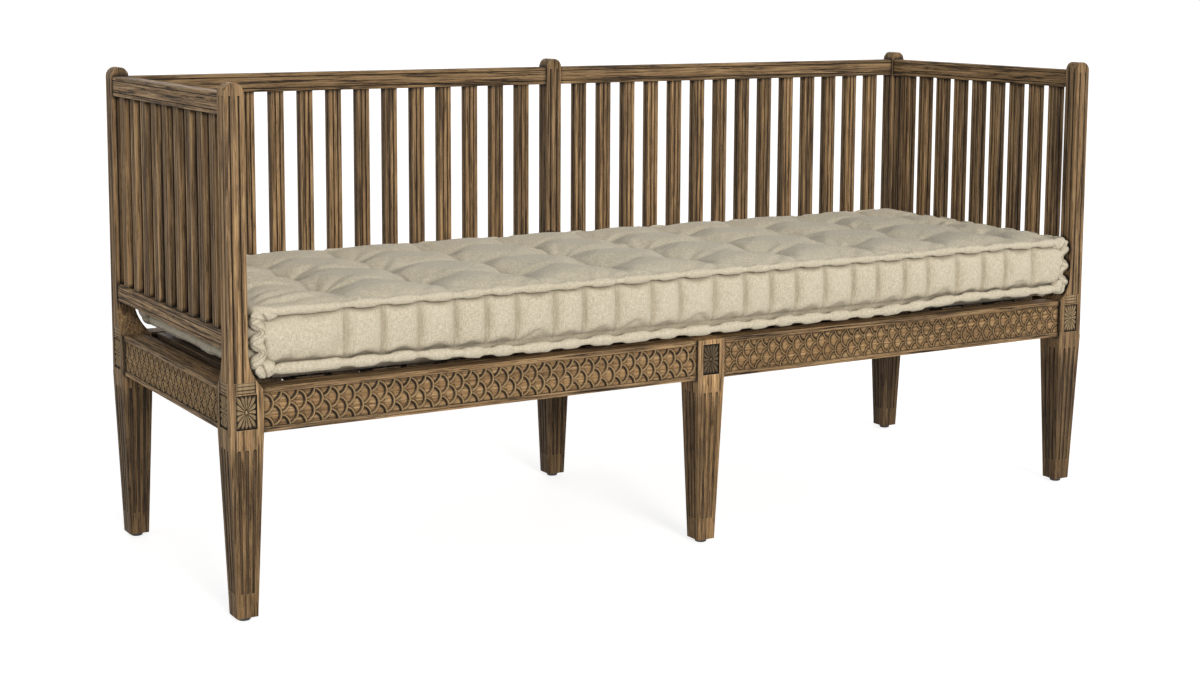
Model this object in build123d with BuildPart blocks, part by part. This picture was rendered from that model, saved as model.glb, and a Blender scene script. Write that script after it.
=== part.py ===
from build123d import *
import math
import os

# Slatted bench bed that widens: the front rail, its middle leg and every second deck slat pull forward.
# X runs along the bench, Y from front to back and Z up, from the floor below the middle of the bench.

# --- Overall size, over the outer faces of the corner posts ---
length = 2000.0
depth = 670.0
rail_line = 930.0           # top of the top rails, where the post heads begin to round

# --- Posts and legs ---
block_size = 62.0           # square block that the seat rails meet
post_size = 36.0            # square post above the block
foot_size = 39.0            # square foot of the tapered leg
glide_height = 8.0
glide_radius = 12.0
glide_round = 3.0
nail_radius = 2.0
nail_length = 20.0
post_corner = 2.0           # rounding of the upright edges
post_reed_pitch = 16.0      # from one groove of a post to the next
post_groove_width = 7.0
post_groove_depth = 2.8
groove_top_margin = 4.0     # the grooves stop this far below the rounded head
groove_foot_margin = 13.0   # and this far above the seat rails
flute_pitch = 15.0          # flutes of a leg where it leaves the block; all four taper with it
flute_radius = 4.0
flute_depth = 2.6
flute_top_margin = 30.0     # plain leg below the block
flute_foot_margin = 46.0    # plain foot
flute_count = 3

# --- Grooves between reeds: two arcs that meet in a sharp valley ---
groove_lip_reach = 0.17     # arc's middle from the valley, as a share of the groove's width
groove_lip_sink = 0.32      # arc's middle below the face, as a share of the groove's depth

# --- Carved fields of the blocks ---
rosette_width = 39.0
rosette_depth = 3.5
head_panel_width = 35.0
head_panel_height = 20.0
head_panel_depth = 1.5
head_panel_gap = 2.0

# --- Seat rails ---
seat_rail_bottom = 338.0
seat_rail_height = 79.5
seat_rail_thickness = 45.0
seat_rail_inset = 5.0       # rail face behind the block face
rail_band = 9.0             # plain band along the top and the bottom of the carved panel
panel_recess = 4.5
seat_tenon_length = 24.0
seat_tenon_thickness = 15.0
seat_tenon_height = 50.0

# --- Back and side panels ---
lower_rail_bottom = 484.0
lower_rail_height = 33.0
top_rail_height = 38.0
panel_rail_thickness = 30.0
rail_bead = 7.5             # bead along each long edge of a panel rail
rail_groove_width = 3.6
rail_groove_depth = 2.2
rail_corner = 2.0
panel_tenon_length = 11.0
panel_tenon_thickness = 10.0
panel_tenon_height = 22.0
slat_width = 28.0
slat_thickness = 23.0
back_slat_gap = 36.0        # space between neighbouring slats of the back, before they are spread evenly
back_end_gap = 42.0         # from a post to the first slat of the back
side_end_gap = 31.0         # from a post to the first slat of a side
side_slat_count = 9         # spread evenly over the depth
slat_reed_pitch = 9.6
slat_groove_width = 5.6
slat_groove_depth = 2.4
slat_corner = 1.6
slat_tenon_length = 8.0
slat_tenon_width = 14.0
slat_tenon_thickness = 10.0

# --- Sliding deck ---
deck_slat_width = 54.0
deck_slat_pitch = 75.0
deck_slat_thickness = 16.0
deck_slat_end_gap = 0.3
bar_height = 24.5           # cleats and crossbars of the fixed half, below the deck slats
cleat_width = 26.0
crossbar_width = 40.0
crossbar_overhang = 8.0     # deck slat beyond its crossbar
slat_to_cleat_gap = 2.7     # free slat end before the other half's cleat
crossbar_tenon_length = 12.0
crossbar_tenon_width = 20.0
crossbar_tenon_height = 14.0
relief_depth = 1.0          # notch in a bar where the other half's slats pass over it
relief_side_gap = 5.0
runner_width = 30.0
runner_height = 24.0
runner_inset = 2.0          # sliding half inside the faces of the corner blocks
ledger_height = 14.0
stop_gap = 2.0              # left between the crossbars when the bed is wide

# --- Screws of the deck slats ---
screw_radius = 2.0
screw_length = 32.0
screw_head_radius = 4.0
screw_head_height = 2.4

# --- Mattress ---
mattress_end_gap = 6.0      # to the posts at each end
mattress_back_gap = 5.0     # to the back posts
mattress_height = 147.0
mattress_taper = 25.0       # underside inside the sides, on the deck between the flares
border_inset = 6.0          # border behind the rolled edges
low_roll_lift = 17.0        # underside of the lower roll above the deck
low_roll_height = 31.0
low_roll_inset = 8.0        # lower roll inside the ends and the back, clear of the posts' flares
top_roll_height = 27.0
roll_round = 12.0
tuft_columns = 9
tuft_rows = 3
tuft_end_gap = 158.0        # from an end of the mattress to the nearest tufts
tuft_side_gap = 154.5       # from its front or back to the nearest tufts
tuft_shift = 30.0           # the tufts stand this far to the right
tuft_radius = 32.0
tuft_depth = 9.0            # below the valleys that cross there
valley_width = 130.0
valley_depth = 9.0          # below the pillows
edge_valley_inset = 34.0
edge_valley_width = 46.0

# --- Clearances ---
joint_fit = 0.1             # round a tenon, a nail or a screw
slide_gap = 0.3             # between sliding faces
seam_gap = 1.0              # front rail end to corner block
soft_gap = 0.3              # mattress above the deck
cut_margin = 1.0            # a cutter runs this far past the face it opens

# --- Worked out from the sizes above ---
x_face = length / 2
y_face = depth / 2
seat_rail_top = seat_rail_bottom + seat_rail_height
lower_rail_top = lower_rail_bottom + lower_rail_height
top_rail_bottom = rail_line - top_rail_height
x_block = x_face - block_size
y_block = y_face - block_size
x_post = x_face - post_size
y_post = y_face - post_size
rail_back = seat_rail_inset + seat_rail_thickness
deck_top = seat_rail_top
deck_bottom = deck_top - deck_slat_thickness
bar_bottom = deck_bottom - bar_height
rail_inner_y = y_face - rail_back
rail_inner_x = x_face - rail_back
cleat_inner_y = rail_inner_y - cleat_width
slat_anchor_y = y_block - deck_slat_end_gap
slat_free_y = cleat_inner_y - slat_to_cleat_gap
crossbar_far_y = slat_free_y - crossbar_overhang
crossbar_near_y = crossbar_far_y - crossbar_width
runner_outer_x = x_block - runner_inset
runner_inner_x = runner_outer_x - runner_width
runner_top = bar_bottom - slide_gap
runner_bottom = runner_top - runner_height
ledger_top = runner_bottom - slide_gap
seat_rail_middle = (seat_rail_bottom + seat_rail_top) / 2
top_rail_middle = rail_line - top_rail_height / 2
lower_rail_middle = lower_rail_bottom + lower_rail_height / 2
rail_centre_in = seat_rail_inset + seat_rail_thickness / 2
post_centre_in = post_size / 2
block_centre_in = block_size / 2
travel = 2 * crossbar_near_y - stop_gap
UP = Vector(0, 0, 1)
LEFT, RIGHT, FRONT, BACK = Vector(-1, 0, 0), Vector(1, 0, 0), Vector(0, -1, 0), Vector(0, 1, 0)
names = []


def save(part, name):
    """Label a finished piece and write it."""
    part.label = name
    names.append(name)
    export_step(part, f"parts/{name}.step")


# ---------------------------------------------------------------- shapes shared by the pieces


def centred(middle, size):
    """Span of a size about its middle."""
    return (middle - size / 2, middle + size / 2)


def spans(outward, along, inward, heights):
    """Spans in X, Y and Z from a span along an outer face, a span inward from it and a span in height."""
    face = x_face if outward.X else y_face
    across = tuple(sorted((outward.X + outward.Y) * (face - reach) for reach in inward))
    return (across, along, heights) if outward.X else (along, across, heights)


def block(x_span, y_span, z_span, grow=0.0):
    """Plain rectangular piece, grown by a fit on every side."""
    with BuildPart() as piece:
        with BuildSketch(Plane.XY.offset(z_span[0] - grow)):
            with Locations((sum(x_span) / 2, sum(y_span) / 2)):
                Rectangle(x_span[1] - x_span[0] + 2 * grow, y_span[1] - y_span[0] + 2 * grow)
        extrude(amount=z_span[1] - z_span[0] + 2 * grow)
    return piece.part


def upright(outward, inward, along=0.0):
    """Plane across a rail at a place along it: x points outward and y up, x = 0 lies `inward` of the face."""
    face = x_face if outward.X else y_face
    axis = Vector(abs(outward.Y), abs(outward.X), 0)
    return Plane(origin=outward * (face - inward) + axis * along, x_dir=outward, z_dir=outward.cross(UP))


def standing(outward, along, inward, z):
    """Level plane for a slat's section: x runs along the panel."""
    across, place, _ = spans(outward, (along, along), (inward, inward), (z, z))
    return Plane(origin=(across[0], place[0], z), x_dir=(abs(outward.Y), abs(outward.X), 0), z_dir=UP)


def grooved_outline(size, centre, pitches, counts, groove, corner):
    """Rectangular outline with rounded corners and cusped grooves that leave reeds between them.

    size, pitches and counts are pairs: along x, for the lower and upper face, then along y for the sides.
    """
    groove_width, groove_depth = groove
    lip_reach, lip_sink = groove_width * groove_lip_reach, groove_depth * groove_lip_sink
    inset = corner * (1 - math.sqrt(0.5))
    with BuildLine() as outline:
        for quarter in range(4):
            across, reach = (size[0], size[1]) if quarter % 2 == 0 else (size[1], size[0])
            pitch, count = pitches[quarter % 2], counts[quarter % 2]
            plane = Plane(origin=centre, x_dir=Vector(1, 0, 0).rotate(Axis.Z, 90 * quarter), z_dir=UP)

            def place(x, y):
                return plane.from_local_coords((x, y - reach / 2, 0))

            here = -across / 2 + corner
            for index in range(count):
                valley = (index - (count - 1) / 2) * pitch
                start, end = valley - groove_width / 2, valley + groove_width / 2
                lowest = place(valley, groove_depth)
                Line(place(here, 0), place(start, 0))
                ThreePointArc(place(start, 0), place(valley - lip_reach, lip_sink), lowest)
                ThreePointArc(lowest, place(valley + lip_reach, lip_sink), place(end, 0))
                here = end
            Line(place(here, 0), place(across / 2 - corner, 0))
            ThreePointArc(
                place(across / 2 - corner, 0),
                place(across / 2 - inset, inset),
                place(across / 2, corner),
            )
    return outline.line


def tenon_of_seat_rail(outward, shoulder, way):
    """Spans of a seat rail's tenon beyond its shoulder; way is the sign it points along the rail."""
    along = tuple(sorted((shoulder, shoulder + way * seat_tenon_length)))
    thickness = centred(rail_centre_in, seat_tenon_thickness)
    return spans(outward, along, thickness, centred(seat_rail_middle, seat_tenon_height))


def tenon_of_panel_rail(outward, shoulder, way, height):
    """Spans of a back or side rail's tenon beyond its shoulder."""
    along = tuple(sorted((shoulder, shoulder + way * panel_tenon_length)))
    thickness = centred(post_centre_in, panel_tenon_thickness)
    return spans(outward, along, thickness, centred(height, panel_tenon_height))


# ---------------------------------------------------------------- posts and legs


def flared_side(block_edge, post_edge):
    """Inner edge of a post's outline: up the block, in along the flare and up to where the head rounds."""
    Line((block_edge, seat_rail_bottom), (block_edge, seat_rail_top))
    TangentArc((post_edge, lower_rail_bottom), (block_edge, seat_rail_top), tangent=(0, -1))
    Line((post_edge, lower_rail_bottom), (post_edge, rail_line))


def post_grooves(x, y, faces):
    """Cutters for the two grooves down each face of a post; faces are pairs (outward, lowest height)."""
    edge, reach = post_groove_width / 2, post_groove_width * groove_lip_reach
    sink = post_groove_depth * groove_lip_sink
    with BuildPart() as cutters:
        for outward, low in faces:
            origin = Vector(x, y, low) + outward * post_size / 2
            with BuildSketch(Plane(origin=origin, x_dir=outward.cross(UP), z_dir=UP)):
                with BuildLine():
                    ThreePointArc((-edge, 0), (-reach, -sink), (0, -post_groove_depth))
                    ThreePointArc((0, -post_groove_depth), (reach, -sink), (edge, 0))
                    Polyline((edge, 0), (edge, cut_margin), (-edge, cut_margin), (-edge, 0))
                groove = make_face(mode=Mode.PRIVATE)
                with Locations(*[(side * post_reed_pitch / 2, 0) for side in (-1, 1)]):
                    add(groove)
            extrude(amount=rail_line - groove_top_margin - low)
    return cutters.part


def carved_fields(outward, along, head_panel=True):
    """Cutters for the sunk rosette field of a block and the shallow panel above it."""
    rosette_heights = (seat_rail_bottom + rail_band, seat_rail_top - rail_band)
    head_low = rosette_heights[1] + head_panel_gap
    head_heights = (head_low, head_low + head_panel_height)
    rosette_inward, head_inward = (-cut_margin, rosette_depth), (-cut_margin, head_panel_depth)
    fields = [block(*spans(outward, centred(along, rosette_width), rosette_inward, rosette_heights))]
    if head_panel:
        fields.append(block(*spans(outward, centred(along, head_panel_width), head_inward, head_heights)))
    return fields


def tapered_leg(x, y):
    """Square leg that tapers from the block to the foot, with round-ended flutes and the glide's nail hole."""
    low, high = glide_height + flute_foot_margin, seat_rail_bottom - flute_top_margin

    def share(z):
        """Width of the leg at a height, as a share of the block's."""
        foot = foot_size / block_size
        return foot + (1 - foot) * (z - glide_height) / (seat_rail_bottom - glide_height)

    flutes = []
    for outward in (LEFT, RIGHT, FRONT, BACK):
        sideways = outward.cross(UP)
        for index in range(flute_count):
            offset = (index - (flute_count - 1) / 2) * flute_pitch
            lift = block_size / 2 + flute_radius - flute_depth
            foot, head = [
                Vector(x, y, z) + outward * lift * share(z) + sideways * offset * share(z) for z in (low, high)
            ]
            axis = head - foot
            r_foot, r_head = flute_radius * share(low), flute_radius * share(high)
            with BuildPart() as flute:
                with BuildSketch(Plane(origin=foot, x_dir=axis, z_dir=axis.cross(outward))):
                    with BuildLine():
                        TangentArc((0, r_foot), (-r_foot, 0), tangent=(-1, 0))
                        Line((0, r_foot), (axis.length, r_head))
                        TangentArc((axis.length, r_head), (axis.length + r_head, 0), tangent=(1, 0))
                        Line((axis.length + r_head, 0), (-r_foot, 0))
                    make_face()
                revolve(axis=Axis(foot, axis))
            flutes.append(flute.part)

    with BuildPart() as leg:
        with BuildSketch(Plane((x, y, glide_height))):
            Rectangle(foot_size, foot_size)
        with BuildSketch(Plane((x, y, seat_rail_bottom))):
            Rectangle(block_size, block_size)
        loft()
        add(flutes, mode=Mode.SUBTRACT)
        with BuildSketch(Plane((x, y, glide_height))):
            Circle(nail_radius + joint_fit)
        extrude(amount=nail_length + joint_fit, mode=Mode.SUBTRACT)
    return leg.part


def corner_post(side, end, name):
    """Corner post with its leg: side is LEFT or RIGHT, end is FRONT or BACK."""
    sx, sy = side.X, end.Y
    block_x, block_y = sx * (x_face - block_centre_in), sy * (y_face - block_centre_in)
    post_x, post_y = sx * (x_face - post_centre_in), sy * (y_face - post_centre_in)
    reeds = [(side, seat_rail_top), (end, seat_rail_top)]
    reeds = [(face, low + groove_foot_margin) for face, low in reeds]
    reeds += [(-side, lower_rail_bottom), (-end, lower_rail_bottom)]
    tenons = [tenon_of_seat_rail(side, sy * y_block, sy)]
    tenons += [tenon_of_panel_rail(side, sy * y_post, sy, z) for z in (top_rail_middle, lower_rail_middle)]
    if end is BACK:
        tenons.append(tenon_of_seat_rail(BACK, sx * x_block, sx))
        tenons += [tenon_of_panel_rail(BACK, sx * x_post, sx, z) for z in (top_rail_middle, lower_rail_middle)]
    with BuildPart() as post:
        with BuildSketch(Plane.XZ):
            with BuildLine():
                Line((sx * x_face, seat_rail_bottom), (sx * x_block, seat_rail_bottom))
                flared_side(sx * x_block, sx * x_post)
                ThreePointArc(
                    (sx * x_post, rail_line), (post_x, rail_line + post_size / 2), (sx * x_face, rail_line)
                )
                Line((sx * x_face, rail_line), (sx * x_face, seat_rail_bottom))
            make_face()
        extrude(amount=y_face, both=True)
        with BuildSketch(Plane.YZ):
            with BuildLine():
                Line((sy * y_face, seat_rail_bottom), (sy * y_block, seat_rail_bottom))
                flared_side(sy * y_block, sy * y_post)
                Polyline(
                    (sy * y_post, rail_line),
                    (sy * y_post, rail_line + post_size),
                    (sy * y_face, rail_line + post_size),
                    (sy * y_face, seat_rail_bottom),
                )
            make_face()
        extrude(amount=x_face, both=True, mode=Mode.INTERSECT)
        shortest = rail_line - lower_rail_bottom - cut_margin
        uprights = post.edges().filter_by(Axis.Z).filter_by(lambda edge: edge.length > shortest)
        fillet(uprights, post_corner)
        add(post_grooves(post_x, post_y, reeds), mode=Mode.SUBTRACT)
        add(carved_fields(side, block_y) + carved_fields(end, block_x), mode=Mode.SUBTRACT)
        add(tapered_leg(block_x, block_y))
        add([block(*tenon, grow=joint_fit) for tenon in tenons], mode=Mode.SUBTRACT)
    save(post.part, name)


os.makedirs("parts", exist_ok=True)
corner_post(LEFT, FRONT, "front_left_post")
corner_post(RIGHT, FRONT, "front_right_post")
corner_post(LEFT, BACK, "back_left_post")
corner_post(RIGHT, BACK, "back_right_post")

block_half, post_half = block_size / 2, post_size / 2
middle_tenons = []
for way in (-1, 1):
    middle_tenons.append(tenon_of_seat_rail(BACK, way * block_half, -way))
    for height in (top_rail_middle, lower_rail_middle):
        middle_tenons.append(tenon_of_panel_rail(BACK, way * post_half, -way, height))
middle_reeds = [(face, lower_rail_bottom) for face in (FRONT, LEFT, RIGHT)]
middle_reeds.append((BACK, seat_rail_top + groove_foot_margin))
with BuildPart() as back_middle_post:
    with BuildSketch(Plane.XZ):
        with BuildLine():
            Line((-block_half, seat_rail_bottom), (block_half, seat_rail_bottom))
            flared_side(-block_half, -post_half)
            flared_side(block_half, post_half)
            ThreePointArc((-post_half, rail_line), (0, rail_line + post_half), (post_half, rail_line))
        make_face()
    extrude(amount=y_face, both=True)
    with BuildSketch(Plane.YZ):
        with BuildLine():
            Line((y_face, seat_rail_bottom), (y_block, seat_rail_bottom))
            flared_side(y_block, y_post)
            Polyline(
                (y_post, rail_line),
                (y_post, rail_line + post_size),
                (y_face, rail_line + post_size),
                (y_face, seat_rail_bottom),
            )
        make_face()
    extrude(amount=x_face, both=True, mode=Mode.INTERSECT)
    add(post_grooves(0, y_face - post_centre_in, middle_reeds), mode=Mode.SUBTRACT)
    add(carved_fields(BACK, 0), mode=Mode.SUBTRACT)
    add(tapered_leg(0, y_face - block_centre_in))
    add([block(*tenon, grow=joint_fit) for tenon in middle_tenons], mode=Mode.SUBTRACT)
save(back_middle_post.part, "back_middle_post")

with BuildPart() as front_middle_leg:
    add(block(centred(0, block_size), (-y_face, -y_block), (seat_rail_bottom, seat_rail_top)))
    add(carved_fields(FRONT, 0, head_panel=False), mode=Mode.SUBTRACT)
    add(tapered_leg(0, -(y_face - block_centre_in)))
    for way in (-1, 1):
        tenon = tenon_of_seat_rail(FRONT, way * block_half, -way)
        add(block(*tenon, grow=joint_fit), mode=Mode.SUBTRACT)
save(front_middle_leg.part, "front_middle_leg")

# ---------------------------------------------------------------- rails


def seat_rail(outward, along, tenons, name, housings=()):
    """Seat rail with a sunk carved panel between two bands; housings are slots cut in its inner face."""
    face, sunk, back = -seat_rail_inset, -seat_rail_inset - panel_recess, -rail_back
    with BuildPart() as rail:
        with BuildSketch(upright(outward, 0, sum(along) / 2)):
            with BuildLine():
                Polyline(
                    (face, seat_rail_bottom),
                    (face, seat_rail_bottom + rail_band),
                    (sunk, seat_rail_bottom + rail_band),
                    (sunk, seat_rail_top - rail_band),
                    (face, seat_rail_top - rail_band),
                    (face, seat_rail_top),
                    (back, seat_rail_top),
                    (back, seat_rail_bottom),
                    close=True,
                )
            make_face()
        extrude(amount=(along[1] - along[0]) / 2, both=True)
        add([block(*tenon) for tenon in tenons])
        if housings:
            add([block(*housing, grow=joint_fit) for housing in housings], mode=Mode.SUBTRACT)
    save(rail.part, name)


def panel_rail(outward, along, heights, slats, slot_edge, name):
    """Moulded rail of the back or a side: a bead along each edge, a plain middle, a slot for every slat."""
    height, middle = heights[1] - heights[0], sum(heights) / 2
    outline = grooved_outline(
        (panel_rail_thickness, height), (0, middle), (0, height - 2 * rail_bead), (0, 2),
        (rail_groove_width, rail_groove_depth), rail_corner,
    )
    tenons = [tenon_of_panel_rail(outward, end, way, middle) for end, way in zip(along, (-1, 1))]
    slots = [
        block(*spans(
            outward,
            centred(place, slat_tenon_width),
            centred(post_centre_in, slat_tenon_thickness),
            (slot_edge - slat_tenon_length, slot_edge + slat_tenon_length),
        ), grow=joint_fit)
        for place in slats
    ]
    with BuildPart() as rail:
        with BuildSketch(upright(outward, post_centre_in, sum(along) / 2)):
            with BuildLine():
                add(outline)
            make_face()
        extrude(amount=(along[1] - along[0]) / 2, both=True)
        add([block(*tenon) for tenon in tenons])
        add(slots, mode=Mode.SUBTRACT)
    save(rail.part, name)


def panel_slat(outward, along):
    """Reeded slat of the back or a side, with a tenon at each end."""
    outline = grooved_outline(
        (slat_width, slat_thickness), (0, 0), (slat_reed_pitch, 0), (2, 1),
        (slat_groove_width, slat_groove_depth), slat_corner,
    )
    tenon = spans(
        outward,
        centred(along, slat_tenon_width),
        centred(post_centre_in, slat_tenon_thickness),
        (lower_rail_top - slat_tenon_length, top_rail_bottom + slat_tenon_length),
    )
    with BuildPart() as slat:
        with BuildSketch(standing(outward, along, post_centre_in, lower_rail_top)):
            with BuildLine():
                add(outline)
            make_face()
        extrude(amount=top_rail_bottom - lower_rail_top)
        add(block(*tenon))
    return slat.part


def spread(first, last, count):
    """Places spread evenly from the first to the last."""
    return [first + (last - first) * index / (count - 1) for index in range(count)]


crossbar_middle_y = (crossbar_near_y + crossbar_far_y) / 2
crossbar_heights = centred(bar_bottom + bar_height / 2, crossbar_tenon_height)
crossbar_tenon_inward = (rail_back - crossbar_tenon_length, rail_back)
top_rail_heights = (top_rail_bottom, rail_line)
lower_rail_heights = (lower_rail_bottom, lower_rail_top)
side_span = (-y_post, y_post)
side_last = y_post - side_end_gap - slat_width / 2
side_places = spread(-side_last, side_last, side_slat_count)
back_first = post_half + back_end_gap + slat_width / 2
back_last = x_post - back_end_gap - slat_width / 2
back_slat_count = 1 + round((back_last - back_first) / (slat_width + back_slat_gap))

for side, name in ((LEFT, "left"), (RIGHT, "right")):
    way = int(side.X)
    from_middle = tuple(sorted((way * block_half, way * x_block)))
    free_end = tuple(sorted((way * block_half, way * (x_block - seam_gap))))
    middle_tenon = way * block_half
    seat_rail(FRONT, free_end, [tenon_of_seat_rail(FRONT, middle_tenon, -way)], f"front_rail_{name}")
    back_tenons = [
        tenon_of_seat_rail(BACK, middle_tenon, -way),
        tenon_of_seat_rail(BACK, way * x_block, way),
    ]
    seat_rail(BACK, from_middle, back_tenons, f"back_seat_rail_{name}")
    side_tenons = [tenon_of_seat_rail(side, end * y_block, end) for end in (-1, 1)]
    housing = spans(side, centred(-crossbar_middle_y, crossbar_tenon_width), crossbar_tenon_inward,
                    crossbar_heights)
    seat_rail(side, (-y_block, y_block), side_tenons, f"side_seat_rail_{name}", [housing])

    back_span = tuple(sorted((way * post_half, way * x_post)))
    back_places = spread(*sorted((way * back_first, way * back_last)), back_slat_count)
    panel_rail(BACK, back_span, top_rail_heights, back_places, top_rail_bottom, f"back_top_rail_{name}")
    panel_rail(BACK, back_span, lower_rail_heights, back_places, lower_rail_top, f"back_lower_rail_{name}")
    panel_rail(side, side_span, top_rail_heights, side_places, top_rail_bottom, f"side_top_rail_{name}")
    panel_rail(side, side_span, lower_rail_heights, side_places, lower_rail_top, f"side_lower_rail_{name}")
    with BuildPart() as back_slats:
        add([panel_slat(BACK, place) for place in back_places])
    save(back_slats.part, f"back_slats_{name}")
    for number, place in enumerate(side_places, start=1):
        save(panel_slat(side, place), f"side_slat_{name}_{number}")

# ---------------------------------------------------------------- sliding deck

# One fixed slat lies on the middle line, and as many as fit on either side; the sliding slats lie between them.
fixed_each_side = int((runner_outer_x - deck_slat_width / 2) / (2 * deck_slat_pitch))
fixed_places = [2 * deck_slat_pitch * index for index in range(-fixed_each_side, fixed_each_side + 1)]
sliding_places = [x + deck_slat_pitch for x in fixed_places[:-1]]
cleat_screw_y = (cleat_inner_y + slat_anchor_y) / 2
bar_span = (-runner_outer_x, runner_outer_x)


def screws(places, facing, grow=0.0):
    """Countersunk screws of one half's slats; facing is 1 for the half anchored at the back."""
    head, shank = screw_head_radius + grow, screw_radius + grow
    with BuildPart() as screw:
        with BuildSketch(Plane.XZ):
            with BuildLine():
                Polyline(
                    (0, 0),
                    (head, 0),
                    (shank, -screw_head_height - grow),
                    (shank, -screw_length - grow),
                    (0, -screw_length - grow),
                    close=True,
                )
            make_face()
        revolve(axis=Axis.Z)
    points = [(x, facing * y, deck_top) for x in places for y in (cleat_screw_y, -crossbar_middle_y)]
    with BuildPart() as group:
        with Locations(*points):
            add(screw.part)
    return group.part


def deck_half(prefix, facing, places, passing):
    """Slats, cleat, crossbar and screws of the half anchored at the back (facing 1) or the front (-1)."""
    floor = bar_bottom if facing > 0 else runner_top
    bar_heights = (floor, deck_bottom)
    holes = screws(places, facing, joint_fit)
    slat_span = tuple(sorted((facing * slat_anchor_y, -facing * slat_free_y)))
    with BuildPart() as slats:
        add([block(centred(x, deck_slat_width), slat_span, (deck_bottom, deck_top)) for x in places])
        add(holes, mode=Mode.SUBTRACT)
    save(slats.part, f"{prefix}_deck_slats")

    cleat_span = tuple(sorted((facing * cleat_inner_y, facing * rail_inner_y)))
    notch_span = tuple(sorted((facing * y_block, facing * y_face)))
    with BuildPart() as cleat:
        add(block(bar_span, cleat_span, bar_heights))
        add(block(centred(0, block_size), notch_span, bar_heights, joint_fit), mode=Mode.SUBTRACT)
        add(holes, mode=Mode.SUBTRACT)
    save(cleat.part, f"{prefix}_cleat")

    crossbar_y = -facing * crossbar_middle_y
    relief_heights = (deck_bottom - relief_depth, deck_bottom + relief_depth)
    reliefs = [
        block(centred(x, deck_slat_width + 2 * relief_side_gap), centred(crossbar_y, 2 * crossbar_width),
              relief_heights)
        for x in passing
    ]
    with BuildPart() as crossbar:
        if facing > 0:
            add(block(centred(0, 2 * rail_inner_x), centred(crossbar_y, crossbar_width), bar_heights))
            reach = centred(0, 2 * (rail_inner_x + crossbar_tenon_length))
            add(block(reach, centred(crossbar_y, crossbar_tenon_width), crossbar_heights))
        else:
            add(block(bar_span, centred(crossbar_y, crossbar_width), bar_heights))
        add(reliefs, mode=Mode.SUBTRACT)
        add(holes, mode=Mode.SUBTRACT)
    save(crossbar.part, f"{prefix}_crossbar")
    save(screws(places, facing), f"{prefix}_deck_screws")


deck_half("fixed", 1, fixed_places, sliding_places)
deck_half("sliding", -1, sliding_places, fixed_places)

for side, name in ((LEFT, "left"), (RIGHT, "right")):
    way = int(side.X)
    runner_x = tuple(sorted((way * runner_inner_x, way * runner_outer_x)))
    runner = block(runner_x, (-rail_inner_y, crossbar_far_y), (runner_bottom, runner_top))
    save(runner, f"runner_{name}")
    ledger_x = tuple(sorted((way * runner_inner_x, way * rail_inner_x)))
    ledger = block(ledger_x, (-y_block, y_block), (ledger_top - ledger_height, ledger_top))
    save(ledger, f"ledger_{name}")


def glides(points, name):
    """Round glide under each foot, with its nail."""
    with BuildPart() as group:
        with BuildSketch():
            with Locations(*points):
                Circle(glide_radius)
        extrude(amount=glide_height)
        fillet(group.edges().group_by(Axis.Z)[0], glide_round)
        with BuildSketch(Plane.XY.offset(glide_height)):
            with Locations(*points):
                Circle(nail_radius)
        extrude(amount=nail_length)
    save(group.part, name)


foot_x, foot_y = x_face - block_centre_in, y_face - block_centre_in
fixed_feet = [(-foot_x, -foot_y), (foot_x, -foot_y), (-foot_x, foot_y), (foot_x, foot_y), (0, foot_y)]
glides(fixed_feet, "fixed_glides")
glides([(0, -foot_y)], "front_middle_glide")

# ---------------------------------------------------------------- mattress

mattress_x = x_post - mattress_end_gap
mattress_back = y_post - mattress_back_gap
mattress_bottom = deck_top + soft_gap
mattress_top = mattress_bottom + mattress_height
mattress_y = (mattress_back - y_face) / 2
mattress_depth = mattress_back + y_face
low_roll_middle = mattress_bottom + low_roll_lift + low_roll_height / 2


def mattress_layer(inset, front_inset, z):
    """Sketch of the mattress's outline at a height, inside its ends and back by an inset."""
    with BuildSketch(Plane((0, mattress_y + (front_inset - inset) / 2, z))) as layer:
        Rectangle(2 * (mattress_x - inset), mattress_depth - front_inset - inset)
    return layer.sketch


def rolled_edge(inset, low, height):
    """Rolled edge all round, as a plate with rounded sides."""
    with BuildPart() as roll:
        add(mattress_layer(inset, 0, low))
        extrude(amount=height)
        fillet(roll.edges().filter_by(Axis.Z), roll_round)
        fillet(roll.faces().filter_by(Axis.Z).edges(), roll_round)
    return roll.part


def valley(place, lengthwise, width):
    """Cutter for a round-bottomed valley across the top, lengthwise at a Y or crosswise at an X."""
    radius = (width * width / 4 + valley_depth * valley_depth) / (2 * valley_depth)
    z = mattress_top - valley_depth + radius
    if lengthwise:
        plane, reach = Plane(origin=(0, place, z), z_dir=RIGHT), mattress_x - edge_valley_inset
    else:
        plane, reach = Plane(origin=(place, mattress_y, z), z_dir=BACK), mattress_depth / 2 - edge_valley_inset
    with BuildPart() as cutter:
        with BuildSketch(plane):
            Circle(radius)
        extrude(amount=reach, both=True)
    return cutter.part


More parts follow.
